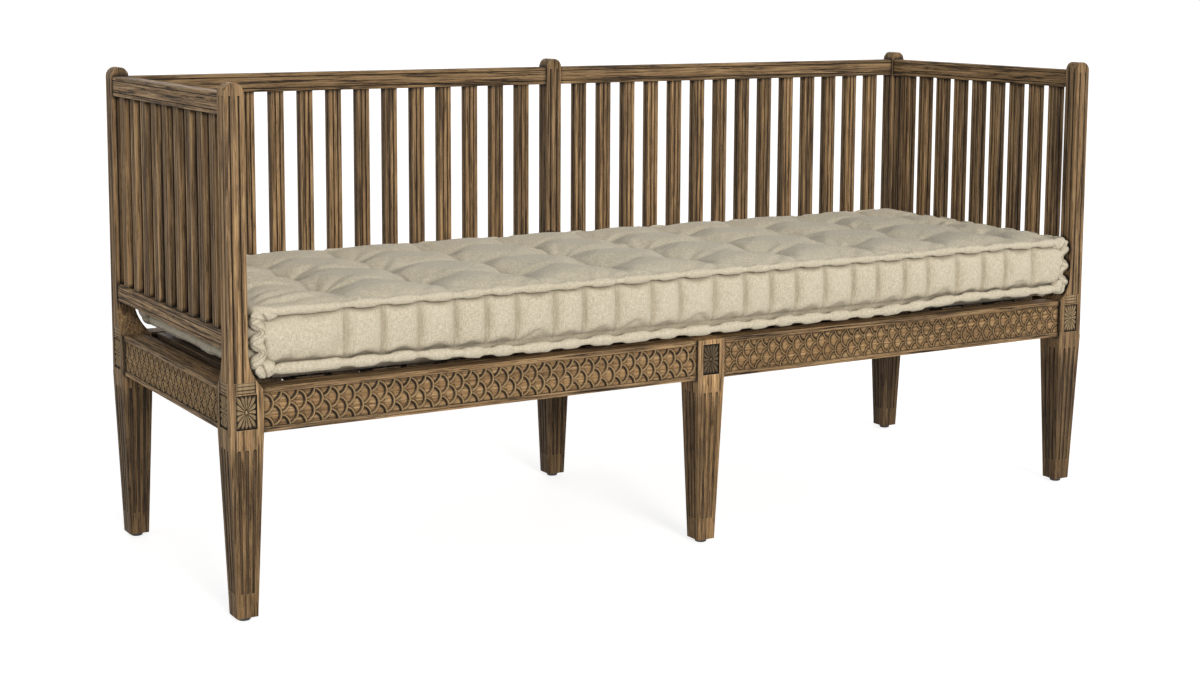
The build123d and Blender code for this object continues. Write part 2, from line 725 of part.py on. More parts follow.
tuft_x = spread(tuft_end_gap - mattress_x + tuft_shift, mattress_x - tuft_end_gap + tuft_shift, tuft_columns)
tuft_y = spread(tuft_side_gap - y_face, mattress_back - tuft_side_gap, tuft_rows)
edge_x = [way * (mattress_x - edge_valley_inset) for way in (-1, 1)]
edge_y = [mattress_y + way * (mattress_depth / 2 - edge_valley_inset) for way in (-1, 1)]
dimple_radius = (tuft_radius * tuft_radius + tuft_depth * tuft_depth) / (2 * tuft_depth)
dimple_z = mattress_top - valley_depth - tuft_depth + dimple_radius
with BuildPart() as mattress:
    add(mattress_layer(mattress_taper, mattress_taper, mattress_bottom))
    add(mattress_layer(border_inset, border_inset, low_roll_middle))
    loft()
    add(mattress_layer(border_inset, border_inset, low_roll_middle))
    extrude(amount=mattress_top - top_roll_height / 2 - low_roll_middle)
    add(rolled_edge(low_roll_inset, low_roll_middle - low_roll_height / 2, low_roll_height))
    add(rolled_edge(0, mattress_top - top_roll_height, top_roll_height))
    add([valley(y, True, valley_width) for y in tuft_y], mode=Mode.SUBTRACT)
    add([valley(x, False, valley_width) for x in tuft_x], mode=Mode.SUBTRACT)
    add([valley(y, True, edge_valley_width) for y in edge_y], mode=Mode.SUBTRACT)
    add([valley(x, False, edge_valley_width) for x in edge_x], mode=Mode.SUBTRACT)
    with Locations(*[(x, y, dimple_z) for x in tuft_x for y in tuft_y]):
        Sphere(dimple_radius, mode=Mode.SUBTRACT)
save(mattress.part, "mattress")

print(len(names), "pieces; travel", round(travel, 1), "mm; ledger stands", round(ledger_top, 1), "mm high")
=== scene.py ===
import itertools
import math
import random

import bmesh
import bpy
import numpy as np
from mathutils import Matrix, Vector, noise


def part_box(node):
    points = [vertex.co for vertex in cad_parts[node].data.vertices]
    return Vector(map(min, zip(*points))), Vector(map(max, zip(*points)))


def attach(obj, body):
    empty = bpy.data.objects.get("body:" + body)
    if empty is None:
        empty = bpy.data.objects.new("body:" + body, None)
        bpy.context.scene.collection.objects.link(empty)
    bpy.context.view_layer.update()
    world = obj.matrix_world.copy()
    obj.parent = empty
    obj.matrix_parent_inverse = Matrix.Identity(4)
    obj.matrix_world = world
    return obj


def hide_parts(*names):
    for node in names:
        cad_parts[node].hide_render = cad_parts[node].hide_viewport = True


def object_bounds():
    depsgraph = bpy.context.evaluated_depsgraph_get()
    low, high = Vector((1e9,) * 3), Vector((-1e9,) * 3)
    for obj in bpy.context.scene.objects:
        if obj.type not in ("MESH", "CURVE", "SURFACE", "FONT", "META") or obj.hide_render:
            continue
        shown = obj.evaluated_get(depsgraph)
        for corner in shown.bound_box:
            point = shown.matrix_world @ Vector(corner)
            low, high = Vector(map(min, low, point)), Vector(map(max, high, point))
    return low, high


# The bench bed dressed on its frame: aged carved wood, fish-scale rails, rosettes and a tufted linen
# mattress. Everything is in metres, in the frame's own axes: X along the bench, Y to the back, Z up.

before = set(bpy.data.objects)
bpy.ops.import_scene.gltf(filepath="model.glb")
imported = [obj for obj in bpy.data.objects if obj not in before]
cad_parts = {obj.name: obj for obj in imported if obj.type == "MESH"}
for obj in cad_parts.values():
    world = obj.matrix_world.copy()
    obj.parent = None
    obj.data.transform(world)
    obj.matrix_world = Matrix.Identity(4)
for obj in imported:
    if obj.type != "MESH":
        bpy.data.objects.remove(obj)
cad_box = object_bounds()
MM = 0.001


# ---- node helpers


class Nodes:
    """Short names for the nodes of a world, or of a new material."""

    def __init__(self, name, owner=None):
        self.owner = owner or bpy.data.materials.new(name)
        self.owner.use_nodes = True
        self.tree = self.owner.node_tree

    def put(self, value, socket):
        """Link a socket, or set a plain value."""
        if isinstance(value, bpy.types.NodeSocket):
            self.tree.links.new(value, socket)
        else:
            socket.default_value = (*value, 1) if socket.type == "RGBA" else value

    def fill(self, node, inputs):
        for key, value in inputs.items():
            if value is not None:
                self.put(value, node.inputs[key])
        return node

    def add(self, kind, inputs={}, **settings):
        node = self.tree.nodes.new("ShaderNode" + kind)
        for key, value in settings.items():
            setattr(node, key, value)
        return self.fill(node, inputs)

    def math(self, operation, first, second, clamp=False):
        return self.add("Math", {0: first, 1: second}, operation=operation, use_clamp=clamp).outputs[0]

    def ramp(self, value, low, high, bottom=0.0, top=1.0, kind="SMOOTHSTEP"):
        """Change from bottom to top as value goes from low to high."""
        inputs = {"Value": value, "From Min": low, "From Max": high, "To Min": bottom, "To Max": top}
        return self.add("MapRange", inputs, interpolation_type=kind).outputs["Result"]

    def mix(self, factor, first, second, blend="MIX"):
        inputs = {"Factor": factor, 6: first, 7: second}
        return self.add("Mix", inputs, data_type="RGBA", blend_type=blend).outputs[2]

    def where(self, scale=(1, 1, 1)):
        """Object coordinates, stretched."""
        place = self.add("TexCoord").outputs["Object"]
        return self.add("Mapping", {"Vector": place, "Scale": scale}).outputs[0]

    def height(self, place):
        return self.add("SeparateXYZ", {0: place}).outputs["Z"]

    def noise(self, scale, stretch=(1, 1, 1), detail=3.0, roughness=0.55, distortion=0.0):
        inputs = {"Vector": self.where(stretch), "Scale": scale, "Detail": detail, "Roughness": roughness,
                  "Distortion": distortion}
        return self.add("TexNoise", inputs).outputs["Fac"]

    def open_air(self, reach):
        """1 where nothing is near, falling towards 0 in nooks."""
        return self.add("AmbientOcclusion", {"Distance": reach}, samples=5).outputs["AO"]

    def vertex_number(self, name):
        return self.add("Attribute", attribute_name=name).outputs["Fac"]

    def bump(self, height, strength, distance, more={}):
        inputs = {"Height": height, "Strength": strength, "Distance": distance, **more}
        return self.add("Bump", inputs).outputs["Normal"]

    def finish(self, colour, roughness, normal, more={}):
        """Fill the material's surface in, and give the material."""
        inputs = {"Base Color": colour, "Roughness": roughness, "Normal": normal, **more}
        self.fill(self.tree.nodes["Principled BSDF"], inputs)
        return self.owner


# ---- camera, floor and light

camera_at = Vector((-2.1436, -3.4773, 1.1260))
camera_pitch, camera_roll, camera_yaw = -0.1221, 0.0050, -0.5396
camera_lens = 58.42
frame_shift = -0.10  # the photograph's verticals are nearly parallel
white = (1.0, 1.0, 1.0)
sky_colour = (0.93, 0.96, 1.0)
sky_level = (0.58, 0.10)  # light of the world near the horizon and overhead
sky_heights = (0.1, 1.0)  # sine of the elevation where it has them
floor_size, floor_colour = 40, (0.6, 0.6, 0.6)
floor_glow = 0.76  # added towards the camera, so that the floor reads white
lamps = (  # name, direction, strength, angle in degrees and colour
    ("key", (0.10, 0.93, -0.29), 2.15, 20, (1.0, 0.96, 0.90)),
    ("side", (0.9, 0.3, -0.3), 0.34, 50, sky_colour),
    ("top", (-0.66, 0.10, -0.55), 0.55, 25, (1.0, 0.975, 0.94)),
    ("back", (-0.35, -0.9, -0.12), 0.95, 50, (1.0, 0.97, 0.93)),
)


def make_camera():
    camera = bpy.data.objects.new("camera", bpy.data.cameras.new("camera"))
    bpy.context.scene.collection.objects.link(camera)
    camera.location = camera_at
    camera.rotation_euler = (math.pi / 2 + camera_pitch, -camera_roll, camera_yaw)
    camera.data.lens = camera_lens
    camera.data.sensor_width = 36
    camera.data.shift_y = frame_shift
    camera.data.clip_end = 60
    bpy.context.scene.camera = camera


def make_lamp(name, direction, strength, angle, colour):
    """A soft lamp that shines along a direction."""
    lamp = bpy.data.lights.new(name, "SUN")
    lamp.energy, lamp.angle, lamp.color = strength, math.radians(angle), colour
    item = bpy.data.objects.new(name, lamp)
    item.rotation_euler = Vector(direction).to_track_quat("-Z", "Y").to_euler()
    bpy.context.scene.collection.objects.link(item)


def seen(n):
    """1 for rays that look at a surface, also in a gloss or through glass, and 0 for those that light."""
    rays = n.add("LightPath").outputs
    straight = n.math("MAXIMUM", rays["Is Camera Ray"], rays["Is Glossy Ray"])
    return n.math("MAXIMUM", straight, rays["Is Transmission Ray"])


def make_world():
    """World that looks white and lights the object from a sky which is dimmer overhead."""
    n = Nodes("studio", bpy.data.worlds.new("studio"))
    bpy.context.scene.world = n.owner
    backdrop = n.fill(n.tree.nodes["Background"], {"Color": white})
    height = n.height(n.add("TexCoord").outputs["Generated"])
    level = n.ramp(height, *sky_heights, *sky_level, "LINEAR")
    light = n.add("Background", {"Color": sky_colour, "Strength": level})
    mix = n.add("MixShader", {0: seen(n), 1: light.outputs[0], 2: backdrop.outputs[0]})
    n.put(mix.outputs[0], n.tree.nodes["World Output"].inputs["Surface"])


def make_floor():
    """Pale floor that reads white and keeps the shadow."""
    bpy.ops.mesh.primitive_plane_add(size=floor_size)
    floor = bpy.context.object
    floor.name = "floor"
    n = Nodes("floor")
    glow = n.math("MULTIPLY", seen(n), floor_glow)
    floor.data.materials.append(n.finish(floor_colour, 0.9, None, {
        "Specular IOR Level": 0.0, "Emission Color": white, "Emission Strength": glow,
    }))


def make_studio():
    bpy.context.scene.view_settings.view_transform = "Standard"
    make_world()
    for lamp in lamps:
        make_lamp(*lamp)
    make_floor()


# ---- wood

grain_stretch = {"x": (0.03, 1, 1), "y": (1, 0.03, 1), "z": (1, 1, 0.03)}
fibre_scale, streak_scale, band_scale = 560, 230, 46  # of the wood's noises
wear_scale, worm_scale = 34, 70
worn_edge = 1.5 * MM  # how wide the pale edges are
painted_shade_reach = 10 * MM  # how near the walls of a recess are, for its painted shade
leg_top = 0.33  # painted shade under the seat: legs are darker than the wood over this height
leg_shade = (0.52, 0.50, 0.46)
slat_tone = (0.76, 1.06)  # the darkest and the palest slat of a row


def figured(n, tones, fibre, streaks, bands, worn, strength):
    """Colour of plain wood: bands, pale and dark lines of the grain, and a few worm holes."""
    ribs, body, shade, recess = tones
    dark, pale = strength
    colour = n.mix(n.ramp(bands, 0.36, 0.62), shade, body)
    colour = n.mix(n.ramp(streaks, 0.48, 0.66, 0.0, pale), colour, ribs)
    lines = n.math("MAXIMUM", n.ramp(streaks, 0.47, 0.40), n.ramp(fibre, 0.45, 0.37, 0.0, 0.9))
    cell = n.add("TexVoronoi", {"Scale": worm_scale, "Vector": n.where()}, distance="EUCLIDEAN")
    worm = n.math("MULTIPLY", n.ramp(cell.outputs["Distance"], 0.13, 0.08), n.ramp(worn, 0.58, 0.62))
    return n.mix(n.math("MULTIPLY", n.math("MAXIMUM", lines, worm), dark), colour, recess)


def edge_wear(n, worn):
    """1 on the rubbed edges of the solids, and less where the wear leaves them out."""
    bevel = n.add("Bevel", {"Radius": worn_edge}, samples=3).outputs[0]
    normal = n.add("NewGeometry").outputs["Normal"]
    facing = n.add("VectorMath", {0: bevel, 1: normal}, operation="DOT_PRODUCT").outputs["Value"]
    return n.math("MULTIPLY", n.ramp(facing, 0.99, 0.88), n.ramp(worn, 0.36, 0.56, 0.25, 1.0))


def weathered(n, colour, tones, worn, carved):
    """Pale edges and rims, and painted shade in the recesses; carved wood reads both from its vertices too.
    """
    ribs, recess = tones[0], tones[-1]
    open_air = n.open_air(painted_shade_reach)
    edge = n.math("MULTIPLY", edge_wear(n, worn), n.ramp(open_air, 0.60, 0.95))
    colour = n.mix(edge, colour, ribs)
    # painted shade: darker where the walls of a recess are near, and in the grooves marked on carved wood
    painted_shade = n.ramp(open_air, 0.72, 0.96, 1.0, 0.0)
    if carved:
        rim = n.math("MULTIPLY", n.vertex_number("rim"), n.ramp(worn, 0.3, 0.55, 0.6, 1.0))
        colour = n.mix(rim, colour, ribs)
        painted_shade = n.math("MAXIMUM", n.math("MULTIPLY", painted_shade, 0.7), n.vertex_number("cut"))
    painted_shade = n.math("MULTIPLY", painted_shade, n.ramp(worn, 0.2, 0.5, 0.85, 1.0), clamp=True)
    return n.mix(painted_shade, colour, recess)


def piece_tone(n, pitch):
    """How bright a piece is: the tone of its object, or one of its own for each slat of a row."""
    if not pitch:
        return n.add("ObjectInfo").outputs["Color"]
    row = n.add("VectorMath", {0: n.where(), 1: pitch}, operation="SNAP").outputs[0]
    toss = n.add("TexWhiteNoise", {0: row}, noise_dimensions="3D").outputs["Value"]
    return n.ramp(toss, 0, 1, *slat_tone)


def aged_wood(name, axis, tones, pitch=None, carved=False, strength=(1.0, 0.85)):
    """Old wood with its grain along an axis: pale on edges and ribs, and near black with painted shade in
    the recesses.

    tones are ribs, body, shade and recess; strength is that of the dark and of the pale lines of the grain.
    pitch is the spacing of a row of slats in one node.
    """
    n = Nodes(name)
    fibre = n.noise(fibre_scale, grain_stretch[axis], 4, 0.65, 0.2)
    streaks = n.noise(streak_scale, grain_stretch[axis], 5, 0.7, 0.5)
    bands = n.noise(band_scale, grain_stretch[axis], 3, 0.5, 0.8)
    worn = n.noise(wear_scale, detail=6, roughness=0.7)
    colour = figured(n, tones, fibre, streaks, bands, worn, strength)
    colour = weathered(n, colour, tones, worn, carved)
    if axis == "z":
        # painted shade under the seat: uprights are darker below leg_top
        under_seat_shade = n.ramp(n.height(n.where()), 0.8 * leg_top, leg_top, 1.0, 0.0)
        colour = n.mix(under_seat_shade, colour, leg_shade, "MULTIPLY")
    toned = n.add("HueSaturation", {"Color": colour, "Value": piece_tone(n, pitch)}).outputs["Color"]
    normal = n.bump(fibre, 0.5, 0.5 * MM, {"Normal": n.bump(streaks, 0.5, 1.2 * MM)})
    return n.finish(toned, n.ramp(streaks, 0.3, 0.7, 0.86, 0.62), normal, {"Specular IOR Level": 0.3})


def plain(name, colour, roughness, metallic=0.0):
    """Dull metal or plastic with slight mottling."""
    n = Nodes(name)
    mottle = n.noise(180)
    colour = n.mix(n.ramp(mottle, 0.35, 0.7), tuple(c * 0.6 for c in colour), colour)
    rough = n.ramp(mottle, 0.3, 0.7, roughness, roughness + 0.15)
    return n.finish(colour, rough, n.bump(mottle, 0.2, 0.2 * MM), {"Metallic": metallic})


old_tones = ((0.54, 0.355, 0.175), (0.29, 0.175, 0.080), (0.15, 0.093, 0.047), (0.011, 0.007, 0.004))
carved_tones = ((0.56, 0.38, 0.19), (0.34, 0.20, 0.086), (0.225, 0.132, 0.058), (0.006, 0.004, 0.002))
rosette_tones = ((0.46, 0.33, 0.18), (0.20, 0.128, 0.064), (0.11, 0.072, 0.038), (0.008, 0.005, 0.003))
deck_tones = ((0.27, 0.185, 0.105), (0.20, 0.135, 0.075), (0.145, 0.095, 0.052), (0.03, 0.02, 0.012))
upright_strength, slat_strength = (0.75, 0.65), (0.75, 0.7)
carved_strength, rosette_strength = (0.45, 0.85), (0.4, 0.85)
node_tones = {  # the other nodes draw theirs
    "front_left_post": 1.18, "front_right_post": 0.90, "front_middle_leg": 1.5,
    "back_left_post": 0.85, "back_right_post": 0.85, "back_middle_post": 0.85,
    "back_top_rail_left": 0.68, "back_top_rail_right": 0.71,
}
drawn_tone = (0.9, 1.12)
back_slat_pitch = (64.15 * MM, 10.0, 10.0)
deck_slat_pitch = (150 * MM, 10.0, 10.0)


def dress_frame():
    """Give every carried-over node its material, with the grain along its length."""
    wood_x, wood_y = (aged_wood("wood_" + axis, axis, old_tones) for axis in "xy")
    deck_x, deck_y = (aged_wood("deck_" + axis, axis, deck_tones) for axis in "xy")
    rules = (  # the first one that has a word of a node's name
        (("screws",), plain("screw_steel", (0.42, 0.41, 0.39), 0.35, 1.0)),
        (("glide",), plain("glide", (0.035, 0.032, 0.03), 0.55)),
        (("deck_slats",), aged_wood("deck_slats", "y", deck_tones, deck_slat_pitch)),
        (("runner", "ledger"), deck_y),
        (("fixed", "sliding"), deck_x),
        (("back_slats",), aged_wood("wood_slats", "z", old_tones, back_slat_pitch, strength=slat_strength)),
        (("post", "leg", "slat"), aged_wood("wood_z", "z", old_tones, strength=upright_strength)),
        (("side",), wood_y),
        (("",), wood_x),
    )
    for name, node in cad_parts.items():
        tone = node_tones.get(name, random.Random(name).uniform(*drawn_tone))
        node.color = (tone, tone, tone, 1)
        material = next(material for words, material in rules if any(word in name for word in words))
        node.data.materials.clear()
        node.data.materials.append(material)


# ---- mesh helpers


def new_piece(name, mesh_data, body, material):
    """Object from (vertices, faces) in the row frame, riding on a body."""
    mesh = bpy.data.meshes.new(name)
    mesh.from_pydata([tuple(v) for v in mesh_data[0]], [], [tuple(f) for f in mesh_data[1]])
    mesh.validate()
    mesh.shade_smooth()
    mesh.materials.append(material)
    item = bpy.data.objects.new(name, mesh)
    bpy.context.scene.collection.objects.link(item)
    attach(item, body)
    return item


def mark(item, name, values):
    """Put a number on every vertex, for the material."""
    layers = item.data.attributes
    layer = layers.get(name) or layers.new(name, "FLOAT", "POINT")
    layer.data.foreach_set("value", np.asarray(values, np.float32))


def numbers_of(item, name):
    data = item.data.attributes[name].data
    values = np.empty(len(data), np.float32)
    data.foreach_get("value", values)
    return values


def carving(name, shape, place, body, material, limits):
    """Carved relief on an upright face, sliced off at its limits (along, up).

    shape is vertices (along, up, out), faces, and each vertex's painted shade in the grooves and pale rim;
    place is the outward direction, the place of the relief's floor along it, and the relief's origin along
    the face and in height.
    """
    vertices, faces, painted_groove_shades, rims = shape
    out, floor_at, along, up = place
    axis = Vector((abs(out.y), abs(out.x), 0))
    solid = [out * (floor_at + w) + axis * (along + u) + Vector((0, 0, up + v)) for u, v, w in vertices]
    item = new_piece(name, (solid, faces), body, material)
    # painted shade in the grooves, and the pale rims, for the material
    mark(item, "cut", painted_groove_shades)
    mark(item, "rim", rims)
    mesh = bmesh.new()
    mesh.from_mesh(item.data)
    bmesh.ops.remove_doubles(mesh, verts=mesh.verts, dist=0.01 * MM)
    for normal, (low, high) in zip((axis, Vector((0, 0, 1))), limits):
        for side, level in ((-1, low), (1, high)):
            geometry = mesh.verts[:] + mesh.edges[:] + mesh.faces[:]
            bmesh.ops.bisect_plane(mesh, geom=geometry, plane_co=normal * level, plane_no=normal * side,
                                   clear_outer=True)
    bmesh.ops.recalc_face_normals(mesh, faces=mesh.faces)
    mesh.to_mesh(item.data)
    mesh.free()
    return item


# --- fish scales of the seat rails

scale_radius = 20.7 * MM
scale_pitch = 15.5 * MM  # from one column of scales to the next
scale_row = 20.5 * MM  # from one row of scales to the next
scale_steps = 20
scale_rings = (0, 0.6, 1.2, 1.8, 2.5, 3.1, 3.8, 4.6, 5.3, 6.1, 6.9, 7.8, 9.5, 13, scale_radius / MM)
root_height, tip_rise = 1.1, 1.4  # heights over the panel's floor; these four lines are in mm
rim_at, rim_width, rim_height = 1.4, 1.1, 1.4  # from the scale's free edge
groove_at, groove_width, groove_depth = 4.9, 2.0, 2.5  # from the edge
ripple_height, ripple_from = 0.3, 8
overlap_margin = 0.4 * MM
sunk = -0.6 * MM  # what a neighbour covers goes under the panel's floor
scale_lift, scale_slip, scale_twist = 0.12 * MM, 0.3 * MM, 0.02
rail_band = 9 * MM
panel_recess = 4.5 * MM
panel_wear = {"front_scales_right": 0.35}  # how much shading the wear left


def covered(u, v, column):
    """Whether an earlier scale lies over this place of a scale in a column."""
    over = [(-scale_pitch, scale_row), (-scale_pitch, -scale_row)] if column > 0 else []
    over += [(-2 * scale_pitch, 0)] if column > 1 else []
    return any(math.hypot(u - x, v - y) < scale_radius - overlap_margin for x, y in over)


def scale_path(column, half):
    """Directions round one scale, from its root over the tip and back, and how far back they start."""
    rear = min(column, 1) * (scale_pitch + 0.5 * MM)
    low, high = {0: (-90, 90), 1: (0, 90), -1: (-90, 0)}[half]
    steps = scale_steps if half == 0 else scale_steps // 2
    angles = [math.radians(low + (high - low) * k / steps) for k in range(steps + 1)]
    path = [(math.cos(a), math.sin(a), 0.0) for a in angles]
    if half <= 0:
        path = [(0, -1, -rear), (0, -1, -rear / 2)] + path
    if half >= 0:
        path = path + [(0, 1, -rear / 2), (0, 1, -rear)]
    return path


def strip_faces(count, width):
    """Quads between neighbouring rows of points."""
    return [
        (a, a + 1, a + 1 + width, a + width)
        for row in range(count // width - 1) for a in range(row * width, row * width + width - 1)
    ]


def one_scale(column, half):
    """Scale with its centre at the origin and its tip along +u: a pale rim, and a groove behind it,
    darkened with painted shade.

    half is 0 for a whole scale, and 1 or -1 for its upper or lower half at a panel's edge.
    """
    path = scale_path(column, half)
    vertices, painted_groove_shades, rims = [], [], []
    for inside in scale_rings:
        radius = scale_radius - inside * MM
        rim = math.exp(-((inside - rim_at) / rim_width) ** 2)
        groove = math.exp(-((inside - groove_at) / groove_width) ** 2)
        for cos, sin, back in path:
            u, v = radius * cos + back, radius * sin
            tilt = root_height + tip_rise * (u + scale_pitch) / (scale_pitch + scale_radius)
            tilt += ripple_height * math.sin(0.9 * v / MM) * (inside > ripple_from)
            depth = 0.72 + 0.28 * sin if half == 0 else 0.85
            height = (tilt + rim_height * rim - groove_depth * groove * depth) * MM
            vertices.append((u, v, sunk if covered(u, v, column) else height))
            # painted shade in the groove, heavier on the scale's upper side, and at its free edge
            painted_groove_shades.append(min(1, 1.7 * groove * depth) if inside else 0.8)
            rims.append(rim)
    faces = strip_faces(len(vertices), len(path))
    skirt = len(vertices)
    vertices += [(u, v, sunk) for u, v, _ in vertices[:len(path)]]
    # painted shade on the skirt under the scale's free edge
    painted_groove_shades += [1.0] * len(path)
    rims += [0.0] * len(path)
    faces += [(skirt + k, skirt + k + 1, k + 1, k) for k in range(len(path) - 1)]
    return vertices, faces, painted_groove_shades, rims


def scale_panel(name, rail, out, span, tip_way, body, material):
    """Columns of overlapping scales in a seat rail's sunk panel; span is the panel along the rail."""
    low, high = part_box(rail)
    face = max(abs(low.dot(out)), abs(high.dot(out)))
    bottom, top = low.z + rail_band, high.z - rail_band
    root = span[0] if tip_way > 0 else span[1]
    rng = random.Random(name)
    wear = panel_wear.get(name, 1.0)
    vertices, faces, painted_groove_shades, rims = [], [], [], []
    for column in range(int((span[1] - span[0]) / scale_pitch) + 1):
        for share, half in ((2 / 3, 0), (0, 1)) if column % 2 == 0 else ((1 / 3, 0), (1, -1)):
            shape, shape_faces, shape_painted_groove_shades, shape_rims = one_scale(column, half)
            lift, twist = rng.uniform(-1, 1) * scale_lift, rng.uniform(-1, 1) * scale_twist
            forward = column * scale_pitch + rng.uniform(-1, 1) * scale_slip
            up = share * (top - bottom)
            start = len(vertices)
            for u, v, w in shape:
                along = tip_way * (forward + u - v * twist)
                vertices.append((along, up + v + u * twist, w + lift if w > 0 else w))
            faces += [tuple(start + k for k in corners) for corners in shape_faces]
            painted_groove_shades += [cut * (0.8 + 0.2 * wear) for cut in shape_painted_groove_shades]
            rims += [rim * wear for rim in shape_rims]
    place = (out, face - panel_recess, root, bottom)
    carving(name, (vertices, faces, painted_groove_shades, rims), place, body, material, (span, (bottom, top)))


def carve_rails():
    wood = {
        axis: aged_wood("carved_" + axis, axis, carved_tones, carved=True, strength=carved_strength)
        for axis in "xy"
    }
    block_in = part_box("front_middle_leg")[1].x
    for side, way in (("left", -1), ("right", 1)):
        block_low, block_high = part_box(f"front_{side}_post")
        block_y = abs(block_low.y) - block_size
        block_x = abs(block_low.x if way < 0 else block_high.x) - block_size
        rail_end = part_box("front_rail_" + side)[0 if way < 0 else 1].x
        front, back = (tuple(sorted((way * block_in, end))) for end in (rail_end, way * block_x))
        for place, rail, out, span, tip_way, body, axis in (
            ("front", "front_rail_", Vector((0, -1, 0)), front, -way, "pull_out", "x"),
            ("back", "back_seat_rail_", Vector((0, 1, 0)), back, -way, "frame", "x"),
            ("side", "side_seat_rail_", Vector((way, 0, 0)), (-block_y, block_y), -1, "frame", "y"),
        ):
            scale_panel(f"{place}_scales_{side}", rail + side, out, span, tip_way, body, wood[axis])


# --- rosettes and beads of the blocks

block_size = 62 * MM
rosette_half = Vector((19.4, 30.6)) * MM
rosette_recess = 3.5 * MM
rosette_turns, rosette_rings = 192, 22
rays = 16
boss = 0.13  # size of the boss in the middle of a rosette, of 1
boss_height, ray_height, vein_depth, field_height = 1.6, 2.8, 1.3, 0.2  # in mm
middle_rosette_tone = 0.38  # the front middle leg's rosette is the darkest
bead_plate = Vector((34.6, 19.6)) * MM
bead_count, bead_steps = 3, 8
bead_height, bead_step = 1.35, 0.25  # of the top bead, and how much lower the next ones are, in mm
bead_gap = 0.1  # height between the beads, in mm
bead_ends = (0, 0.03, 0.97, 1)
bead_recess = 1.5 * MM
bead_rise = 3 * MM  # the beads' middle over the rail's top


def clamped(value):
    return min(max(value, 0), 1)


def around(middle, half):
    return middle - half, middle + half


def rosette_relief(r, turn):
    """Height of a rosette in mm; r is 0 at the boss and 1 at the frame."""
    if r < boss:
        return boss_height * (1 + math.sqrt(1 - (r / boss) ** 2))
    ray = abs(math.cos(rays / 2 * turn))
    tip = 0.97 - 0.16 * (1 - ray)
    body = min((r - 0.10) / 0.12, 1) * clamped((tip - r) / 0.10) ** 0.6
    vein = vein_depth * math.exp(-((1 - ray) / 0.02) ** 2) * clamped((r - 0.42) / 0.1)
    return field_height + (ray_height * ray ** 0.6 - vein) * body


def rosette_shape():
    """Starburst stretched to the block's field: vertices (along, up, out), faces, painted shade in the low
    places, and rims.
    """
    vertices, painted_groove_shades, rims, faces = [], [], [], []
    for row in range(rosette_rings + 1):
        r = row / rosette_rings
        for k in range(rosette_turns):
            a = 2 * math.pi * k / rosette_turns
            x, y = math.cos(a), math.sin(a)
            reach = r / max(abs(x), abs(y)) ** (r ** 2)
            height = rosette_relief(r, a)
            vertices.append((rosette_half.x * reach * x, rosette_half.y * reach * y, height * MM))
            # painted shade, darker the lower the relief
            painted_groove_shades.append(clamped(1.3 - height / 1.4))
            rims.append(clamped((height - 1.9) / 0.8))
    for start in range(0, rosette_rings * rosette_turns, rosette_turns):
        for k in range(rosette_turns):
            a, b = start + k, start + (k + 1) % rosette_turns
            faces.append((a, b, b + rosette_turns, a + rosette_turns))
    return vertices, faces, painted_groove_shades, rims


def bead_shape():
    """Stepped beads that fill the shallow panel over a rosette."""
    vertices, painted_groove_shades, rims = [], [], []
    for bead in range(bead_count):
        for k in range(bead_steps + 1):
            a = math.pi * k / bead_steps
            z = (bead + 0.5 - 0.46 * math.cos(a)) / bead_count
            crest = (bead_height - bead_step * (bead_count - 1 - bead)) * math.sin(a) ** 0.6
            for end in bead_ends:
                height = crest if 0 < k < bead_steps and 0 < end < 1 else bead_gap
                vertices.append(((end - 0.5) * bead_plate.x, (z - 0.5) * bead_plate.y, height * MM))
                # painted shade in the gaps between the beads
                painted_groove_shades.append(1.0 if height < 0.5 else 0.0)
                rims.append(0.5 if height > 0.8 else 0.0)
    return vertices, strip_faces(len(vertices), len(bead_ends)), painted_groove_shades, rims


def block_faces():
    """The node, outward direction and place along the face of every block face that shows."""
    box_high = cad_box[1]
    places = [("front_middle_leg", Vector((0, -1, 0)), 0.0), ("back_middle_post", Vector((0, 1, 0)), 0.0)]
    for x_way, x_name in ((-1, "left"), (1, "right")):
        for y_way, y_name in ((-1, "front"), (1, "back")):
            post = f"{y_name}_{x_name}_post"
            places.append((post, Vector((0, y_way, 0)), x_way * (box_high.x - block_size / 2)))
            places.append((post, Vector((x_way, 0, 0)), y_way * (box_high.y - block_size / 2)))
    return places


def carve_blocks():
    dark = aged_wood("rosette", "z", rosette_tones, carved=True, strength=rosette_strength)
    rail_low, rail_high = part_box("front_rail_left")
    rosette_z, bead_z = (rail_low.z + rail_high.z) / 2, rail_high.z + bead_rise
    rosette, beads = rosette_shape(), bead_shape()
    rosette_span, bead_span = around(rosette_z, rosette_half.y), around(bead_z, bead_plate.y / 2)
    for number, (node, out, along) in enumerate(block_faces()):
        face = cad_box[1].y if out.y else cad_box[1].x
        in_front = node == "front_middle_leg"
        body = "pull_out" if in_front else "frame"
        side = around(along, rosette_half.x)
        place = (out, face - rosette_recess, along, rosette_z)
        flower = carving(f"rosette_{number}", rosette, place, body, dark, (side, rosette_span))
        tone = middle_rosette_tone if in_front else 1.0
        flower.color = (tone, tone, tone, 1)
        if not in_front:
            place = (out, face - bead_recess, along, bead_z)
            carving(f"beads_{number}", beads, place, body, dark, (side, bead_span))


# ---- mattress

